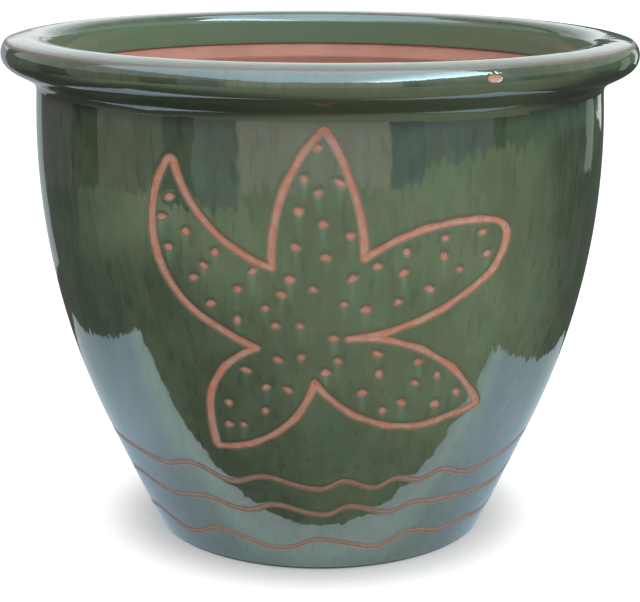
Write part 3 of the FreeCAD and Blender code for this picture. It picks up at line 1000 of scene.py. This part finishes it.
        # The lines are shallow: the clay rises into them under the creeping edge of the glaze
        lifts = (("groove", self.groove_lift), ("wave", self.wave_lift), ("dot", self.dot_lift))
        rises = [lift * np.clip(1 + clear[cut] / self.lift_reach, 0, 1) for cut, lift in lifts]
        rise = np.max(rises, axis=0)
        bed = 1 - np.clip(clear["groove"] / (self.lines.star_groove / 2), 0, 1)
        rise = rise - self.groove_bowl * (1 - bed ** 2)
        rise = rise - self.dot_bowl * np.clip(clear["dot"] / (self.lines.dot_size / 2), 0, 1)
        angle = np.broadcast_to(self.columns, rise.shape)
        along = np.broadcast_to(self.rows[:, None], rise.shape)
        outer = self.points(angle.ravel(), along.ravel(), rise.ravel())
        inner_r, inner_z = self.inside_path(floor)
        turn, level = np.meshgrid(self.columns, inner_z)
        swell = np.sin(turn * self.ring_swell + level / self.ring_swell_rise)
        ring = self.ring_height * np.sin(level / self.ring_pitch + np.sin(turn * self.ring_wander))
        ring = ring * (self.ring_share + self.ring_swell_share * swell)
        ring[[0, -1]] = 0
        inner = self.hand.place(turn, inner_r[:, None] + ring, level).reshape(-1, 3)
        points = np.concatenate([outer, inner])
        cells, joins = self.faces(low, high)
        faces = cells.tolist() + joins
        column = np.arange(count)
        beside = (column + 1) % count
        start = len(outer)
        rows = [high * count, *(start + number * count for number in range(len(inner_r))), low * count]
        for one, other in zip(rows, rows[1:]):
            band = [one + column, one + beside, other + beside, other + column]
            faces += np.stack(band, axis=1).tolist()
        edge = np.maximum(clear["groove"], np.maximum(clear["dot"], clear["wave"]))
        # The clay beside the lines is stained brown, and painted darker under the glaze's upper edges as
        # painted shade
        over = np.clip(-np.gradient(edge, self.rows, axis=0) * self.top_edge_shade_gain, 0, 1)
        stain_and_shade = np.clip(1 - edge / self.stain_reach, 0, 1) * (self.stain_share + self.top_edge_shade_share * over)
        stain_and_shade = np.maximum(stain_and_shade, (clear["wave"] > -self.cell) * self.wave_stain_share)
        cut = (edge > -self.cell).astype(float)
        film = np.clip(clear["wave"] / self.film_reach, 0, 1)
        inside = np.zeros(len(inner))
        used = np.unique(np.concatenate([np.array(face) for face in faces]))
        place = np.full(len(points), -1)
        place[used] = np.arange(len(used))
        outside = {Mark.STAIN_AND_SHADE: stain_and_shade, Mark.CUT: cut, Mark.FILM: film}
        marks = {mark: np.concatenate([values.ravel(), inside])[used] for mark, values in outside.items()}
        faces = [place[face].tolist() for face in faces]
        return new_piece("clay_wall", points[used], faces, marks, self.clay)

    def inside_path(self, floor: float) -> tuple[np.ndarray, np.ndarray]:
        """The wall's inside from the neck down to the toe of the cove.

        Args:
            floor: height of the floor.

        Returns:
            Distances from the axis and heights.
        """
        form = self.form
        depth = form.coat + form.wall_thickness
        cove, toe = self.cove, self.cove_toe
        levels = np.linspace(form.neck_height, floor + self.inside_end, self.inside_rows)
        radius, height, _ = form.face(levels, depth)
        keep = height <= form.neck_height
        top_radius = np.interp(form.neck_height, height[::-1], radius[::-1])
        cove_z = floor + toe + cove
        slope = math.pi / 2 + form.taper
        foot_r = float(np.interp(floor + toe, height[::-1], radius[::-1]))
        centre_r = foot_r - cove * math.tan((math.pi - slope) / 2)
        turn = np.linspace(-form.taper, -math.pi / 2, self.cove_steps)
        round_r = centre_r + cove * np.cos(turn)
        round_z = cove_z + cove * np.sin(turn)
        keep &= height > round_z[0] + toe
        radius = np.concatenate([[top_radius], radius[keep], round_r, [round_r[-1]]])
        height = np.concatenate([[form.neck_height], height[keep], round_z, [floor]])
        return radius, height

    def row_at(self, height: float) -> int:
        """The grid's row at a height of the glazed face.

        Args:
            height: the height.

        Returns:
            The row's number.
        """
        return int(np.clip(np.searchsorted(self.level, height), 0, len(self.rows) - 1))

    def build(self, floor: float) -> None:
        """Make the wall's pieces.

        Args:
            floor: height of the floor that the wall stands on.
        """
        clear = self.clearances()
        swing = self.swing_reach * self.lines.swing
        top = len(self.rows) - 1
        split = self.foot_rows + self.fine_rows
        lower_height = self.lines.lower_height
        middle_height = lower_height + self.lines.middle_rise
        heights = (lower_height, middle_height, middle_height + self.lines.upper_rise)
        # Rows that each wavy line stays between
        starts = [self.row_at(height - swing) for height in heights]
        ends = [self.row_at(height + swing) for height in heights]
        plan = (
            ("foot_coat", "foot_glaze", "foot", 0, ends[0]),
            ("lower_wave_coat", "lower_wave_glaze", "lower", starts[0], ends[1]),
            ("upper_wave_coat", "upper_wave_glaze", "upper", starts[1], min(ends[2], split)),
            ("field_coat", "field_glaze", "field", starts[2], top),
            ("starfish_coat", "starfish_glaze", "star", split - self.star_overlap, top),
        )
        for name, node, island, low, high in plan:
            run = clear["run"] if island == "star" else np.zeros_like(clear["run"])
            stand_in(self.island(name, clear[island], run, low, high), node)
        stand_in(self.clay_wall(clear, floor), "pot_wall")


@dataclass
class TurnedPieces:
    """The rim's clay and glaze and the floor, turned from closed sections."""

    form: WallForm
    hand: HandThrown
    rim_radius: float
    pot_height: float
    floor: float
    glaze: bpy.types.Material
    clay: bpy.types.Material
    crest_inset: float = 17 * MM
    crown_radius: float = 40 * MM
    edge_inset: float = 3 * MM
    face_round: float = 11 * MM
    face_rise: float = math.radians(44)
    face_lean: float = math.radians(16)
    hollow_turn: float = math.radians(56)
    hollow_leave: float = 9 * MM
    face_arrive: float = 7 * MM
    rim_width: float = 29 * MM
    lip_round: float = 7 * MM
    throat_depth: float = 23.5 * MM
    throat_steps: int = 16
    throat_fade: float = 1 * MM
    throat_light_share: float = 0.9
    end_roll: float = 1.8 * MM
    bury: float = 0.2 * MM
    inner_skip: int = 3
    under_roll_shade_start: float = 9 * MM
    under_roll_shade_fade: float = 5 * MM
    darken_share: float = 0.8
    edge_width: float = 1.7 * MM
    edge_share: float = 0.92
    edge_stray_share: float = 0.14
    edge_stray_turns: tuple[int, int] = (47, 29)
    edge_fine_share: float = 0.1
    edge_fine_turns: int = 113
    edge_pool_share: float = 0.6
    step: float = 0.8 * MM
    floor_step: float = 6 * MM
    floor_wall_steps: int = 10
    bevel_steps: int = 8
    neck_search: float = 5 * MM
    neck_search_steps: int = 41
    sharp_turn: float = math.radians(38)
    column_step: float = math.radians(1)
    close_columns: int = 3
    close_parts: int = 8
    close_clearance: float = 1.1
    chip_turn: float = math.radians(27.7)
    chip_drop: float = 8.2 * MM
    chip_width: float = 4.7 * MM
    chip_height: float = 2.3 * MM
    chip_depth: float = 1.1 * MM
    chip_edge: float = 4
    drain_radius: float = 14 * MM
    drain_bevel: float = 1.5 * MM
    foot_hollow: float = 4 * MM
    ring_width: float = 20 * MM

    def angles(self, close_to: float | None = None) -> np.ndarray:
        """Turns round the axis, closer together about one place.

        Args:
            close_to: the place, or None.

        Returns:
            Turns from the front.
        """
        even = np.arange(0, FULL_TURN - self.column_step / 2, self.column_step)
        if close_to is None:
            return even
        span = self.close_columns * self.column_step
        fine = np.arange(close_to - span, close_to + span, self.column_step / self.close_parts)
        others = even[np.abs(even - close_to) > span * self.close_clearance]
        return np.sort(np.concatenate([others, fine]))

    def turn(
        self, name: str, loop: np.ndarray, marks: dict[Mark, np.ndarray], angles: np.ndarray,
        material: bpy.types.Material, push: np.ndarray | None = None,
    ) -> bpy.types.Object:
        """Turn a closed section round the axis.

        Args:
            name: the piece's name.
            loop: the section's points, anticlockwise, as distances from the axis and heights.
            marks: values of the section's points.
            angles: turns of the columns.
            material: its finish.
            push: distances to move each point towards the axis, by row and column.

        Returns:
            The piece.
        """
        count = len(angles)
        radius = np.repeat(loop[:, 0][:, None], count, axis=1)
        if push is not None:
            radius = radius - push
        level = np.repeat(loop[:, 1][:, None], count, axis=1)
        points = self.hand.place(np.broadcast_to(angles, radius.shape), radius, level).reshape(-1, 3)
        grids = np.meshgrid(np.arange(len(loop)), np.arange(count), indexing="ij")
        row, column = (grid.ravel() for grid in grids)
        above, beside = (row + 1) % len(loop), (column + 1) % count
        faces = np.stack([
            row * count + column, row * count + beside, above * count + beside, above * count + column,
        ], axis=1)
        spread = {
            mark: (values if values.ndim == 2 else np.repeat(values[:, None], count, axis=1)).ravel()
            for mark, values in marks.items()
        }
        piece = new_piece(name, points, faces.tolist(), spread, material)
        piece.data.set_sharp_from_angle(angle=self.sharp_turn)
        return piece

    def bend(self, *corners: tuple[float, float]) -> np.ndarray:
        """Points along a smooth bend that starts and ends along its outer legs.

        Args:
            corners: start, the two places that draw it out, and end.

        Returns:
            An array of points.
        """
        a, b, c, d = (np.array(corner) for corner in corners)
        count = max(4, round(math.dist(corners[0], corners[3]) / self.step))
        t = np.linspace(0, 1, count + 1)[:, None]
        return a * (1 - t) ** 3 + 3 * b * t * (1 - t) ** 2 + 3 * c * t ** 2 * (1 - t) + d * t ** 3

    def sweep(self, centre: tuple[float, float], radius: float, start: float, end: float) -> np.ndarray:
        """Points along an arc.

        Args:
            centre: its centre.
            radius: its radius.
            start: angle of its first point.
            end: angle of its last point.

        Returns:
            An array of points.
        """
        count = max(5, round(abs(end - start) * radius / self.step))
        turn = np.linspace(start, end, count + 1)
        return np.array(centre) + radius * np.stack([np.cos(turn), np.sin(turn)], axis=1)

    def rim_path(self) -> np.ndarray:
        """The glazed outside of the rim, from the neck over the crest and down the throat.

        Returns:
            Distances from the axis and heights.
        """
        form = self.form
        rim, top = self.rim_radius, self.pot_height
        crest = rim - self.crest_inset
        crown_z = top - self.crown_radius
        edge_turn = math.acos((rim - self.edge_inset - crest) / self.crown_radius)
        to_edge = np.array([math.cos(edge_turn), math.sin(edge_turn)])
        edge = np.array([crest, crown_z]) + self.crown_radius * to_edge
        lip_r = rim - self.rim_width + self.lip_round
        lip_z = crown_z + math.sqrt((self.crown_radius - self.lip_round) ** 2 - (crest - lip_r) ** 2)
        lip_turn = math.atan2(lip_z - crown_z, lip_r - crest)
        # The face is a round shoulder under the edge
        to_face = np.array([math.cos(self.face_rise), math.sin(self.face_rise)])
        shoulder = edge - self.face_round * to_face
        face = self.sweep(tuple(shoulder), self.face_round, -self.face_lean, self.face_rise)
        # Below it rolls under and runs into the wall in a hollow
        start_z = form.neck_height - form.hollow_reach
        wall_r, _, _ = form.face(np.array([start_z]), 0)
        centre = (float(wall_r[0]) + form.hollow_radius, start_z)
        start_turn = math.asin(form.hollow_reach / form.hollow_radius)
        hollow = self.sweep(centre, form.hollow_radius, math.pi - start_turn, math.pi - self.hollow_turn)
        leave = np.array([math.sin(self.hollow_turn), math.cos(self.hollow_turn)]) * self.hollow_leave
        arrive = np.array([math.sin(self.face_lean), math.cos(self.face_lean)]) * self.face_arrive
        under = self.bend(*(tuple(p) for p in (hollow[-1], hollow[-1] + leave, face[0] - arrive, face[0])))
        crown = self.sweep((crest, crown_z), self.crown_radius, edge_turn, lip_turn)
        lip = self.sweep((lip_r, lip_z), self.lip_round, lip_turn, math.pi)
        throat = np.linspace(lip[-1], (lip[-1, 0], top - self.throat_depth), self.throat_steps)
        return np.concatenate([hollow[:-1], under[:-1], face[:-1], crown[:-1], lip[:-1], throat])

    def inset(self, path: np.ndarray, depth: np.ndarray | float) -> np.ndarray:
        """The same path moved inwards.

        Args:
            path: an outside path.
            depth: how far it moves.

        Returns:
            The moved path.
        """
        ahead = np.gradient(path, axis=0)
        square = np.stack([-ahead[:, 1], ahead[:, 0]], axis=1)
        return path + square / np.linalg.norm(square, axis=1)[:, None] * np.reshape(depth, (-1, 1))

    def build_rim(self) -> None:
        """Make the rim's clay and glaze."""
        path = self.rim_path()
        coat = self.form.coat
        along = np.concatenate([[0], np.cumsum(np.linalg.norm(np.diff(path, axis=0), axis=1))])
        left = along[-1] - along
        # The coat ends in the throat as a rounded roll
        share = np.sqrt(1 - (1 - np.clip(left / self.end_roll, 0, 1)) ** 2)
        outer = self.inset(path, coat * (1 - share))
        inner = self.inset(path, coat + self.bury)[::self.inner_skip]
        loop = np.concatenate([outer, inner[::-1]])
        angles = self.angles(self.chip_turn)
        # The coat is thin over the outer edge, unevenly
        edge_r = self.rim_radius - self.edge_inset
        edge_z = self.pot_height - self.crown_radius + math.sqrt(
            self.crown_radius ** 2 - (self.crest_inset - self.edge_inset) ** 2
        )
        off = np.hypot(loop[:, 0] - edge_r, loop[:, 1] - edge_z)
        off[len(outer):] = 1
        high = np.exp(-(off / self.edge_width) ** 2)
        stray = np.sin(angles * self.edge_stray_turns[0]) * np.sin(angles * self.edge_stray_turns[1] + 1)
        fine = np.sin(angles * self.edge_fine_turns)
        ragged = self.edge_share + self.edge_stray_share * stray + self.edge_fine_share * fine
        thin = np.clip(high[:, None] * ragged, 0, 1)
        base = np.concatenate([np.clip(share, 0, 1), np.ones(len(inner))])
        # The throat is painted paler and greener: partly the glaze's own colour, partly painted light falling
        # into it
        throat_r = self.rim_radius - self.rim_width
        throat = np.clip((throat_r + self.throat_fade - loop[:, 0]) / self.throat_fade, 0, 1)
        throat = throat * self.throat_light_share
        throat[len(outer):] = 0
        # It is painted dark under the roll, as painted shade
        under_roll_shade = np.clip((self.pot_height - self.under_roll_shade_start - loop[:, 1]) / self.under_roll_shade_fade, 0, 1)
        under_roll_shade = under_roll_shade * self.darken_share
        under_roll_shade[loop[:, 0] < throat_r + self.lip_round] = 0
        # A small chip on the face, down to the clay
        drop = (self.pot_height - self.chip_drop - loop[:, 1]) / self.chip_height
        aside = (angles - self.chip_turn) * self.rim_radius / self.chip_width
        chip = np.clip(1 - drop[:, None] ** 2 - aside ** 2, 0, 1)
        chip[len(outer):] = 0
        chip[loop[:, 0] < edge_r] = 0
        marks = {
            Mark.COAT: base[:, None] * (1 - thin),
            Mark.BARE: np.clip(chip * self.chip_edge, 0, 1),
            Mark.RUN_AND_LIGHT: np.repeat(throat[:, None], len(angles), axis=1),
            Mark.PAINTED_SHADE_AND_EDGE: np.maximum(under_roll_shade[:, None], thin * self.edge_pool_share),
        }
        push = self.chip_depth * np.sqrt(chip)
        stand_in(self.turn("rim_coat", loop, marks, angles, self.glaze, push), "rim_glaze")
        bed = self.inset(path, coat)
        clay = bed[::self.inner_skip].copy()
        clay[-1] = bed[-1]
        inside = np.array([[self.inner_neck(), self.form.neck_height]])
        bevel = np.linspace(clay[-1], inside[0], self.bevel_steps)[1:]
        section = np.concatenate([clay, bevel])
        stand_in(self.turn("clay_rim", section, {}, self.angles(), self.clay), "rim_roll")

    def inner_neck(self) -> float:
        """Radius of the wall's inside at the neck.

        Returns:
            The radius.
        """
        depth = self.form.coat + self.form.wall_thickness
        neck, reach = self.form.neck_height, self.neck_search
        levels = np.linspace(neck - reach, neck + reach, self.neck_search_steps)
        radius, height, _ = self.form.face(levels, depth)
        return float(np.interp(neck, height, radius))

    def build_floor(self) -> None:
        """Make the floor with its foot ring, hollow and drain hole."""
        form = self.form
        foot, ring = form.foot_radius, form.foot_radius - self.ring_width
        drain, wiped = self.drain_radius, self.drain_radius + self.drain_bevel
        levels = np.linspace(form.clay_end()[1], self.floor, self.floor_wall_steps)
        wall_r, wall_z, _ = form.face(levels, form.coat)
        wall_r = np.append(wall_r[wall_z < self.floor], np.interp(self.floor, wall_z, wall_r))
        wall_z = np.append(wall_z[wall_z < self.floor], self.floor)
        corners = np.array([
            (wiped, self.floor), (drain, self.floor - self.drain_bevel),
            (drain, self.foot_hollow + self.drain_bevel), (wiped, self.foot_hollow),
            (ring - self.foot_hollow, self.foot_hollow), (ring, 0),
        ])
        round_foot = self.sweep((foot, form.foot_round), form.foot_round, -math.pi / 2, -form.taper)
        loop = np.concatenate([corners, round_foot[:-1], np.stack([wall_r, wall_z], axis=1)])
        dense = [loop[0]]
        for start, end in zip(loop, np.roll(loop, -1, axis=0)):
            count = max(1, round(math.dist(start, end) / self.floor_step))
            dense += [start + (end - start) * step / count for step in range(1, count + 1)]
        piece = self.turn("clay_floor", np.array(dense[:-1]), {}, self.angles(), self.clay)
        stand_in(piece, "base_slab")


@dataclass(frozen=True)
class Card:
    """A sheet that only the shine sees: what stands round a pot in a yard, as it shows in a wet glaze."""

    name: str
    colours: tuple[Light, ...]
    corners: tuple[tuple[float, float, float], ...]
    near_pot: bool = False
    shade_start: float = 0.11
    shade_end: float = 0.23
    shade_share: float = 0.62
    open_front: float = -0.125
    open_back: float = -0.07

    def build(self) -> bpy.types.Object:
        """Make the card.

        Returns:
            The card, as part of the stage.
        """
        material, tree, output = new_material(f"{self.name}_sheet")
        first, last = self.colours[0], self.colours[-1]
        shine = add_node(tree, "ShaderNodeEmission", {"Color": (*first, 1.0), "Strength": 1.0})
        if last != first:
            fade = add_node(
                tree, "ShaderNodeMix", {"data_type": "RGBA", 6: (*first, 1.0), 7: (*last, 1.0)},
                {0: marked(tree, Mark.FADE)},
            )
            tree.links.new(fade.outputs[2], shine.inputs["Color"])
        if self.near_pot:
            # The pot's own shade lies on it, except in front
            place = add_node(tree, "ShaderNodeTexCoord").outputs["Object"]
            length = add_node(tree, "ShaderNodeVectorMath", {"operation": "LENGTH"}, {0: place})
            away = length.outputs["Value"]
            back = add_node(tree, "ShaderNodeSeparateXYZ", None, {0: place}).outputs[1]
            light = add_node(tree, "ShaderNodeMath", {"operation": "MAXIMUM"}, {
                0: ranged(tree, away, self.shade_start, self.shade_end, self.shade_share, 1.0),
                1: ranged(tree, back, self.open_front, self.open_back, 1.0, 0.0),
            })
            tree.links.new(light.outputs[0], shine.inputs["Strength"])
        tree.links.new(shine.outputs[0], output.inputs[0])
        points = np.array(self.corners)
        half = len(points) // 2
        faces = [[i, i + 1, half + i + 1, half + i] for i in range(half - 1)]
        made = new_piece(self.name, points, faces, {Mark.FADE: np.repeat([0.0, 1.0], half)}, material)
        for ray in ("camera", "diffuse", "transmission", "volume_scatter", "shadow"):
            setattr(made, f"visible_{ray}", False)
        return made


def mat(
    name: str, colours: Sequence[Light], west: float, east: float, south: float, north: float,
    level: float, across: bool = False, near_pot: bool = False,
) -> Card:
    """A card that lies flat.

    Args:
        name: its name.
        colours: its light, linear, at its south and north edges.
        west: lowest X.
        east: highest X.
        south: lowest Y.
        north: highest Y.
        level: its height.
        across: whether it fades from west to east instead.
        near_pot: whether the pot shades it.

    Returns:
        The card.
    """
    corners = [(west, south, level), (east, south, level), (west, north, level), (east, north, level)]
    if across:
        corners[1], corners[2] = corners[2], corners[1]
    return Card(name, tuple(colours), tuple(corners), near_pot)


def screen(
    name: str, colours: Sequence[Light], start: float, end: float, low: Sequence[float],
    high: float, distance: float = 1.4, steps: int = 9,
) -> Card:
    """A card that stands on an arc round the pot.

    Args:
        name: its name.
        colours: its light, linear, at its lower and upper edges.
        start: turn of its first edge from the front, in degrees.
        end: turn of its last edge.
        low: heights of its lower edge at the first and last edges.
        high: height of its upper edge.
        distance: how far it stands from the axis.
        steps: points along its arc.

    Returns:
        The card.
    """
    turns = np.radians(np.linspace(start, end, steps))
    feet = np.linspace(low[0], low[-1], steps)
    ring = [(distance * math.sin(turn), -distance * math.cos(turn)) for turn in turns]
    lower = [(x, y, float(foot)) for (x, y), foot in zip(ring, feet)]
    upper = [(x, y, high) for x, y in ring]
    return Card(name, tuple(colours), tuple(lower + upper))


# The pale board that the pot stood on: its sides, its height, and its light from front to back
BOARD_SIDES = (-0.37, 0.32)
BOARD_LEVEL = 2 * MM
BOARD_NAMES = ("board_edge", "board_front", "board_middle", "board_back", "board_far")
BOARD_LIGHTS = (
    (-0.136, (1.4, 1.7, 1.85)), (-0.118, (1.45, 1.95, 1.95)), (-0.08, (1.08, 1.42, 1.75)),
    (0.03, (0.70, 0.94, 1.16)), (0.12, (0.64, 0.80, 0.90)), (0.30, (0.58, 0.70, 0.76)),
)
BOARD = tuple(
    mat(name, (light, next_light), *BOARD_SIDES, south, north, BOARD_LEVEL, near_pot=True)
    for name, (south, light), (north, next_light) in zip(BOARD_NAMES, BOARD_LIGHTS, BOARD_LIGHTS[1:])
)

# What stood round it, from the left of the back round the front to the right, and the sky
CARDS = (
    *BOARD,
    screen("left_edge", ((0.46, 0.52, 0.55),), -176, -133, (0.0, 0.0), 0.36, 0.68),
    screen("left_wall", ((0.15, 0.12, 0.14),), -140, -107, (0.0, 0.0), 3.0, 1.2),
    screen("left_dark", ((0.02, 0.02, 0.02),), -107, -90, (0.0, 0.0), 0.5, 1.2),
    screen("left_upper", ((0.66, 0.72, 0.66),), -130, -88, (0.45, 0.45), 3.0, 1.15),
    screen("left_olive", ((0.42, 0.42, 0.34),), -90, -58, (0.0, 0.0), 0.54, 1.2),
    screen("left_shade", ((0.14, 0.15, 0.13),), -58, -45, (0.0, 0.0), 0.50, 1.1),
    screen("left_teal", ((0.44, 0.54, 0.52),), -45, -29, (0.0, 0.0), 0.48, 1.05),
    screen("middle_brown", ((1.3, 1.27, 1.08),), -29, 25, (0.0, 0.0), 0.60),
    screen("right_teal", ((0.20, 0.32, 0.52), (0.54, 0.66, 0.58)), 25, 37, (0.02, 0.06), 0.54, 1.2),
    screen("right_green", ((0.44, 0.58, 0.58), (0.72, 0.80, 0.76)), 37, 66, (0.085, 0.12), 0.60),
    screen("right_trees", ((0.15, 0.23, 0.19),), 66, 141, (0.12, 0.13), 0.5),
    screen("right_upper", ((0.60, 0.74, 0.62),), 66, 150, (0.5, 0.5), 3.0),
    screen("right_streak", ((0.46, 0.58, 0.48),), 124, 132, (0.0, 0.0), 0.45, 1.35),
    screen("right_dark", ((0.08, 0.11, 0.09),), 147, 175, (0.0, 0.0), 0.45),
    screen("back_sky", ((1.24, 1.31, 1.34),), 160, 200, (0.5, 0.5), 3.0, 2.0),
    mat("sky_left", ((2.3, 3.1, 3.8), (3.2, 4.4, 5.3)), -3.4, 1.2, -12.0, 0.5, 2.6, across=True),
    mat("sky_right", ((3.2, 4.4, 5.3), (11.0, 15.5, 17.0)), 1.2, 3.6, -12.0, 0.5, 2.6, across=True),
)


@dataclass(frozen=True)
class Ground:
    """The ground round the board, that only the shine sees: lit in front, dark behind and by the board."""

    lit: Light = (0.85, 1.06, 0.66)
    shade: Light = (0.08, 0.085, 0.085)
    west: float = BOARD_SIDES[0]
    east: float = BOARD_SIDES[1]
    south: float = BOARD_LIGHTS[0][0]
    level: float = 1 * MM
    reach: float = 7.0
    left_back: float = -1.4
    right_back: float = 4.0
    skew_reach: float = 0.3
    skew: float = 0.15
    dark_start: float = -0.08
    dark_end: float = 0.30
    dark_share: float = 0.12
    front_share: float = -0.6
    behind_share: float = 0.4

    def build(self) -> None:
        """Lay the ground."""
        far, level = self.reach, self.level
        card = Card("ground", (self.lit,), (
            (-far, -far, level), (far, -far, level),
            (-far, self.left_back, level), (far, self.right_back, level),
        )).build()
        tree = card.data.materials[0].node_tree
        shine = next(node for node in tree.nodes if node.type == "EMISSION")
        place = add_node(tree, "ShaderNodeTexCoord").outputs["Object"]
        split = add_node(tree, "ShaderNodeSeparateXYZ", None, {0: place})
        x, y = split.outputs[0], split.outputs[1]
        gaps = (
            add_node(tree, "ShaderNodeMath", {"operation": "SUBTRACT", 1: self.east}, {0: x}),
            add_node(tree, "ShaderNodeMath", {"operation": "SUBTRACT", 0: self.south}, {1: y}),
            add_node(tree, "ShaderNodeMath", {"operation": "SUBTRACT", 0: self.west}, {1: x}),
        )
        off = gaps[0].outputs[0]
        for gap in gaps[1:]:
            farther = add_node(tree, "ShaderNodeMath", {"operation": "MAXIMUM"}, {0: off, 1: gap.outputs[0]})
            off = farther.outputs[0]
        # The dark strip along the board is wider on the left
        skew = ranged(tree, x, -self.skew_reach, self.skew_reach, -self.skew, self.skew)
        off = add_node(tree, "ShaderNodeMath", {"operation": "ADD"}, {0: off, 1: skew}).outputs[0]
        clear = ranged(tree, off, self.dark_start, self.dark_end, self.dark_share, 1.0)
        away = add_node(tree, "ShaderNodeVectorMath", {"operation": "LENGTH"}, {0: place}).outputs["Value"]
        behind = add_node(tree, "ShaderNodeMath", {"operation": "DIVIDE"}, {0: y, 1: away}).outputs[0]
        front = ranged(tree, behind, self.front_share, self.behind_share, 1.0, 0.0)
        share = add_node(tree, "ShaderNodeMath", {"operation": "MULTIPLY"}, {0: clear, 1: front}).outputs[0]
        light = add_node(
            tree, "ShaderNodeMix",
            {"data_type": "RGBA", 6: (*self.shade, 1.0), 7: (*self.lit, 1.0)}, {0: share},
        )
        tree.links.new(light.outputs[2], shine.inputs["Color"])


@dataclass
class Stage:
    """Floor, light and camera."""

    camera_place: tuple[float, float, float] = (0.0, -1.050, 0.4112)
    camera_tilt: float = 75.697
    lens: float = 92.37
    sensor: float = 36.0
    floor_size: float = 24.0
    floor_glow: float = 0.82
    floor_shade: float = 0.30
    shade_reach: float = 0.045
    shade_samples: int = 16
    shade_full_share: float = 0.25
    floor_white: str = "#B4B3B3"
    floor_bounce: str = "#B2B2B0"
    sky_light: float = 0.84
    key_power: float = 14.0
    key_size: float = 1.8
    key_place: tuple[float, float, float] = (1.3, -0.9, 1.9)
    key_aim: tuple[float, float, float] = (0.0, 0.0, 0.2)
    white: str = "#FFFFFF"
    sky_tint: str = "#FBFCFF"

    def white_rays(self, tree: bpy.types.NodeTree) -> bpy.types.NodeSocket:
        """Which rays see plain white: those of the camera and those that shine or pass through.

        Args:
            tree: the node tree.

        Returns:
            One for such a ray, or else zero.
        """
        path = add_node(tree, "ShaderNodeLightPath")
        shown = add_node(tree, "ShaderNodeMath", {"operation": "MAXIMUM"}, {
            0: path.outputs["Is Camera Ray"], 1: path.outputs["Is Glossy Ray"],
        })
        return add_node(tree, "ShaderNodeMath", {"operation": "MAXIMUM"}, {
            0: shown.outputs[0], 1: path.outputs["Is Transmission Ray"],
        }).outputs[0]

    def build_floor(self) -> None:
        """Lay a pale floor that goes white where no shadow falls."""
        material, tree, output = new_material("pale_painted_floor")
        seen = self.white_rays(tree)
        colour = mixed(tree, seen, self.floor_bounce, self.floor_white)
        matt = add_node(tree, "ShaderNodeBsdfDiffuse", None, {"Color": colour})
        # The glow that makes the floor white fails close under the pot, so its contact shadow stays
        nearness = {"Distance": self.shade_reach, "samples": self.shade_samples}
        open_air = add_node(tree, "ShaderNodeAmbientOcclusion", nearness).outputs["AO"]
        kept = ranged(tree, open_air, self.shade_full_share, 1.0, self.floor_shade, self.floor_glow)
        glow = add_node(tree, "ShaderNodeMath", {"operation": "MULTIPLY"}, {0: seen, 1: kept}).outputs[0]
        light = add_node(tree, "ShaderNodeEmission", {"Color": linear(self.white)}, {"Strength": glow})
        both = add_node(tree, "ShaderNodeAddShader", None, {0: matt.outputs[0], 1: light.outputs[0]})
        tree.links.new(both.outputs[0], output.inputs[0])
        half = self.floor_size / 2
        points = np.array([(-half, -half, 0), (half, -half, 0), (half, half, 0), (-half, half, 0)])
        new_piece("floor", points, [[0, 1, 2, 3]], {}, material)

    def build_light(self) -> None:
        """Light the pot softly from all round and from above."""
        world = bpy.data.worlds.new("soft_studio")
        bpy.context.scene.world = world
        world.use_nodes = True
        tree = world.node_tree
        tree.nodes.clear()
        seen = add_node(tree, "ShaderNodeBackground", {"Color": linear(self.white), "Strength": 1.0})
        sky = {"Color": linear(self.sky_tint), "Strength": self.sky_light}
        lit = add_node(tree, "ShaderNodeBackground", sky)
        both = add_node(tree, "ShaderNodeMixShader", None, {
            0: self.white_rays(tree), 1: lit.outputs[0], 2: seen.outputs[0],
        })
        output = add_node(tree, "ShaderNodeOutputWorld")
        tree.links.new(both.outputs[0], output.inputs[0])
        lamp = bpy.data.lights.new("soft_key", "AREA")
        lamp.size = self.key_size
        lamp.energy = self.key_power
        key = bpy.data.objects.new("soft_key", lamp)
        key.location = self.key_place
        aim = np.array(self.key_aim) - np.array(self.key_place)
        key.rotation_euler = (
            math.acos(-aim[2] / float(np.linalg.norm(aim))), 0, math.atan2(aim[1], aim[0]) - math.pi / 2,
        )
        key.visible_glossy = False
        bpy.context.scene.collection.objects.link(key)

    def build_camera(self) -> None:
        """Set the camera where the photo was taken from."""
        scene = bpy.context.scene
        camera = bpy.data.cameras.new("photo_camera")
        camera.lens = self.lens
        camera.sensor_width = self.sensor
        camera.sensor_fit = "HORIZONTAL"
        made = bpy.data.objects.new("photo_camera", camera)
        made.location = self.camera_place
        made.rotation_euler = (math.radians(self.camera_tilt), 0, 0)
        scene.collection.objects.link(made)
        scene.camera = made
        scene.view_settings.view_transform = "Standard"

    def build(self) -> None:
        """Make the whole stage."""
        self.build_camera()
        self.build_floor()
        self.build_light()
        Ground().build()
        for card in CARDS:
            card.build()
        LOG.info("stage: floor, ground, %d cards, lens %.1f mm", len(CARDS), self.lens)


def main() -> None:
    """Build the pot and its stage, and keep the sizes of both models."""
    logging.basicConfig(level=logging.INFO, format="%(name)s: %(message)s")
    rim_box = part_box("rim_glaze")
    field_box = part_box("field_glaze")
    star_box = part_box("starfish_glaze")
    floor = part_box("base_slab")[1].z
    star_shares = [share for _, share in STAR_OUTLINE_SHARES]
    span = (star_box[1].z - star_box[0].z) / (max(star_shares) - min(star_shares))
    height = rim_box[1].z
    hand = HandThrown(height)
    form = WallForm(belly_radius=field_box[1].x, neck_height=field_box[1].z)
    lines = DrawnLines(star_height=star_box[1].z - span * max(star_shares), star_span=span)
    glaze, clay = DippedGlaze().material(), FiredClay().material()
    GlazedWall(form, lines, hand, glaze, clay).build(floor)
    turned = TurnedPieces(form, hand, rim_box[1].x, height, floor, glaze, clay)
    turned.build_rim()
    turned.build_floor()
    Stage().build()


if __name__ == "__main__":
    main()
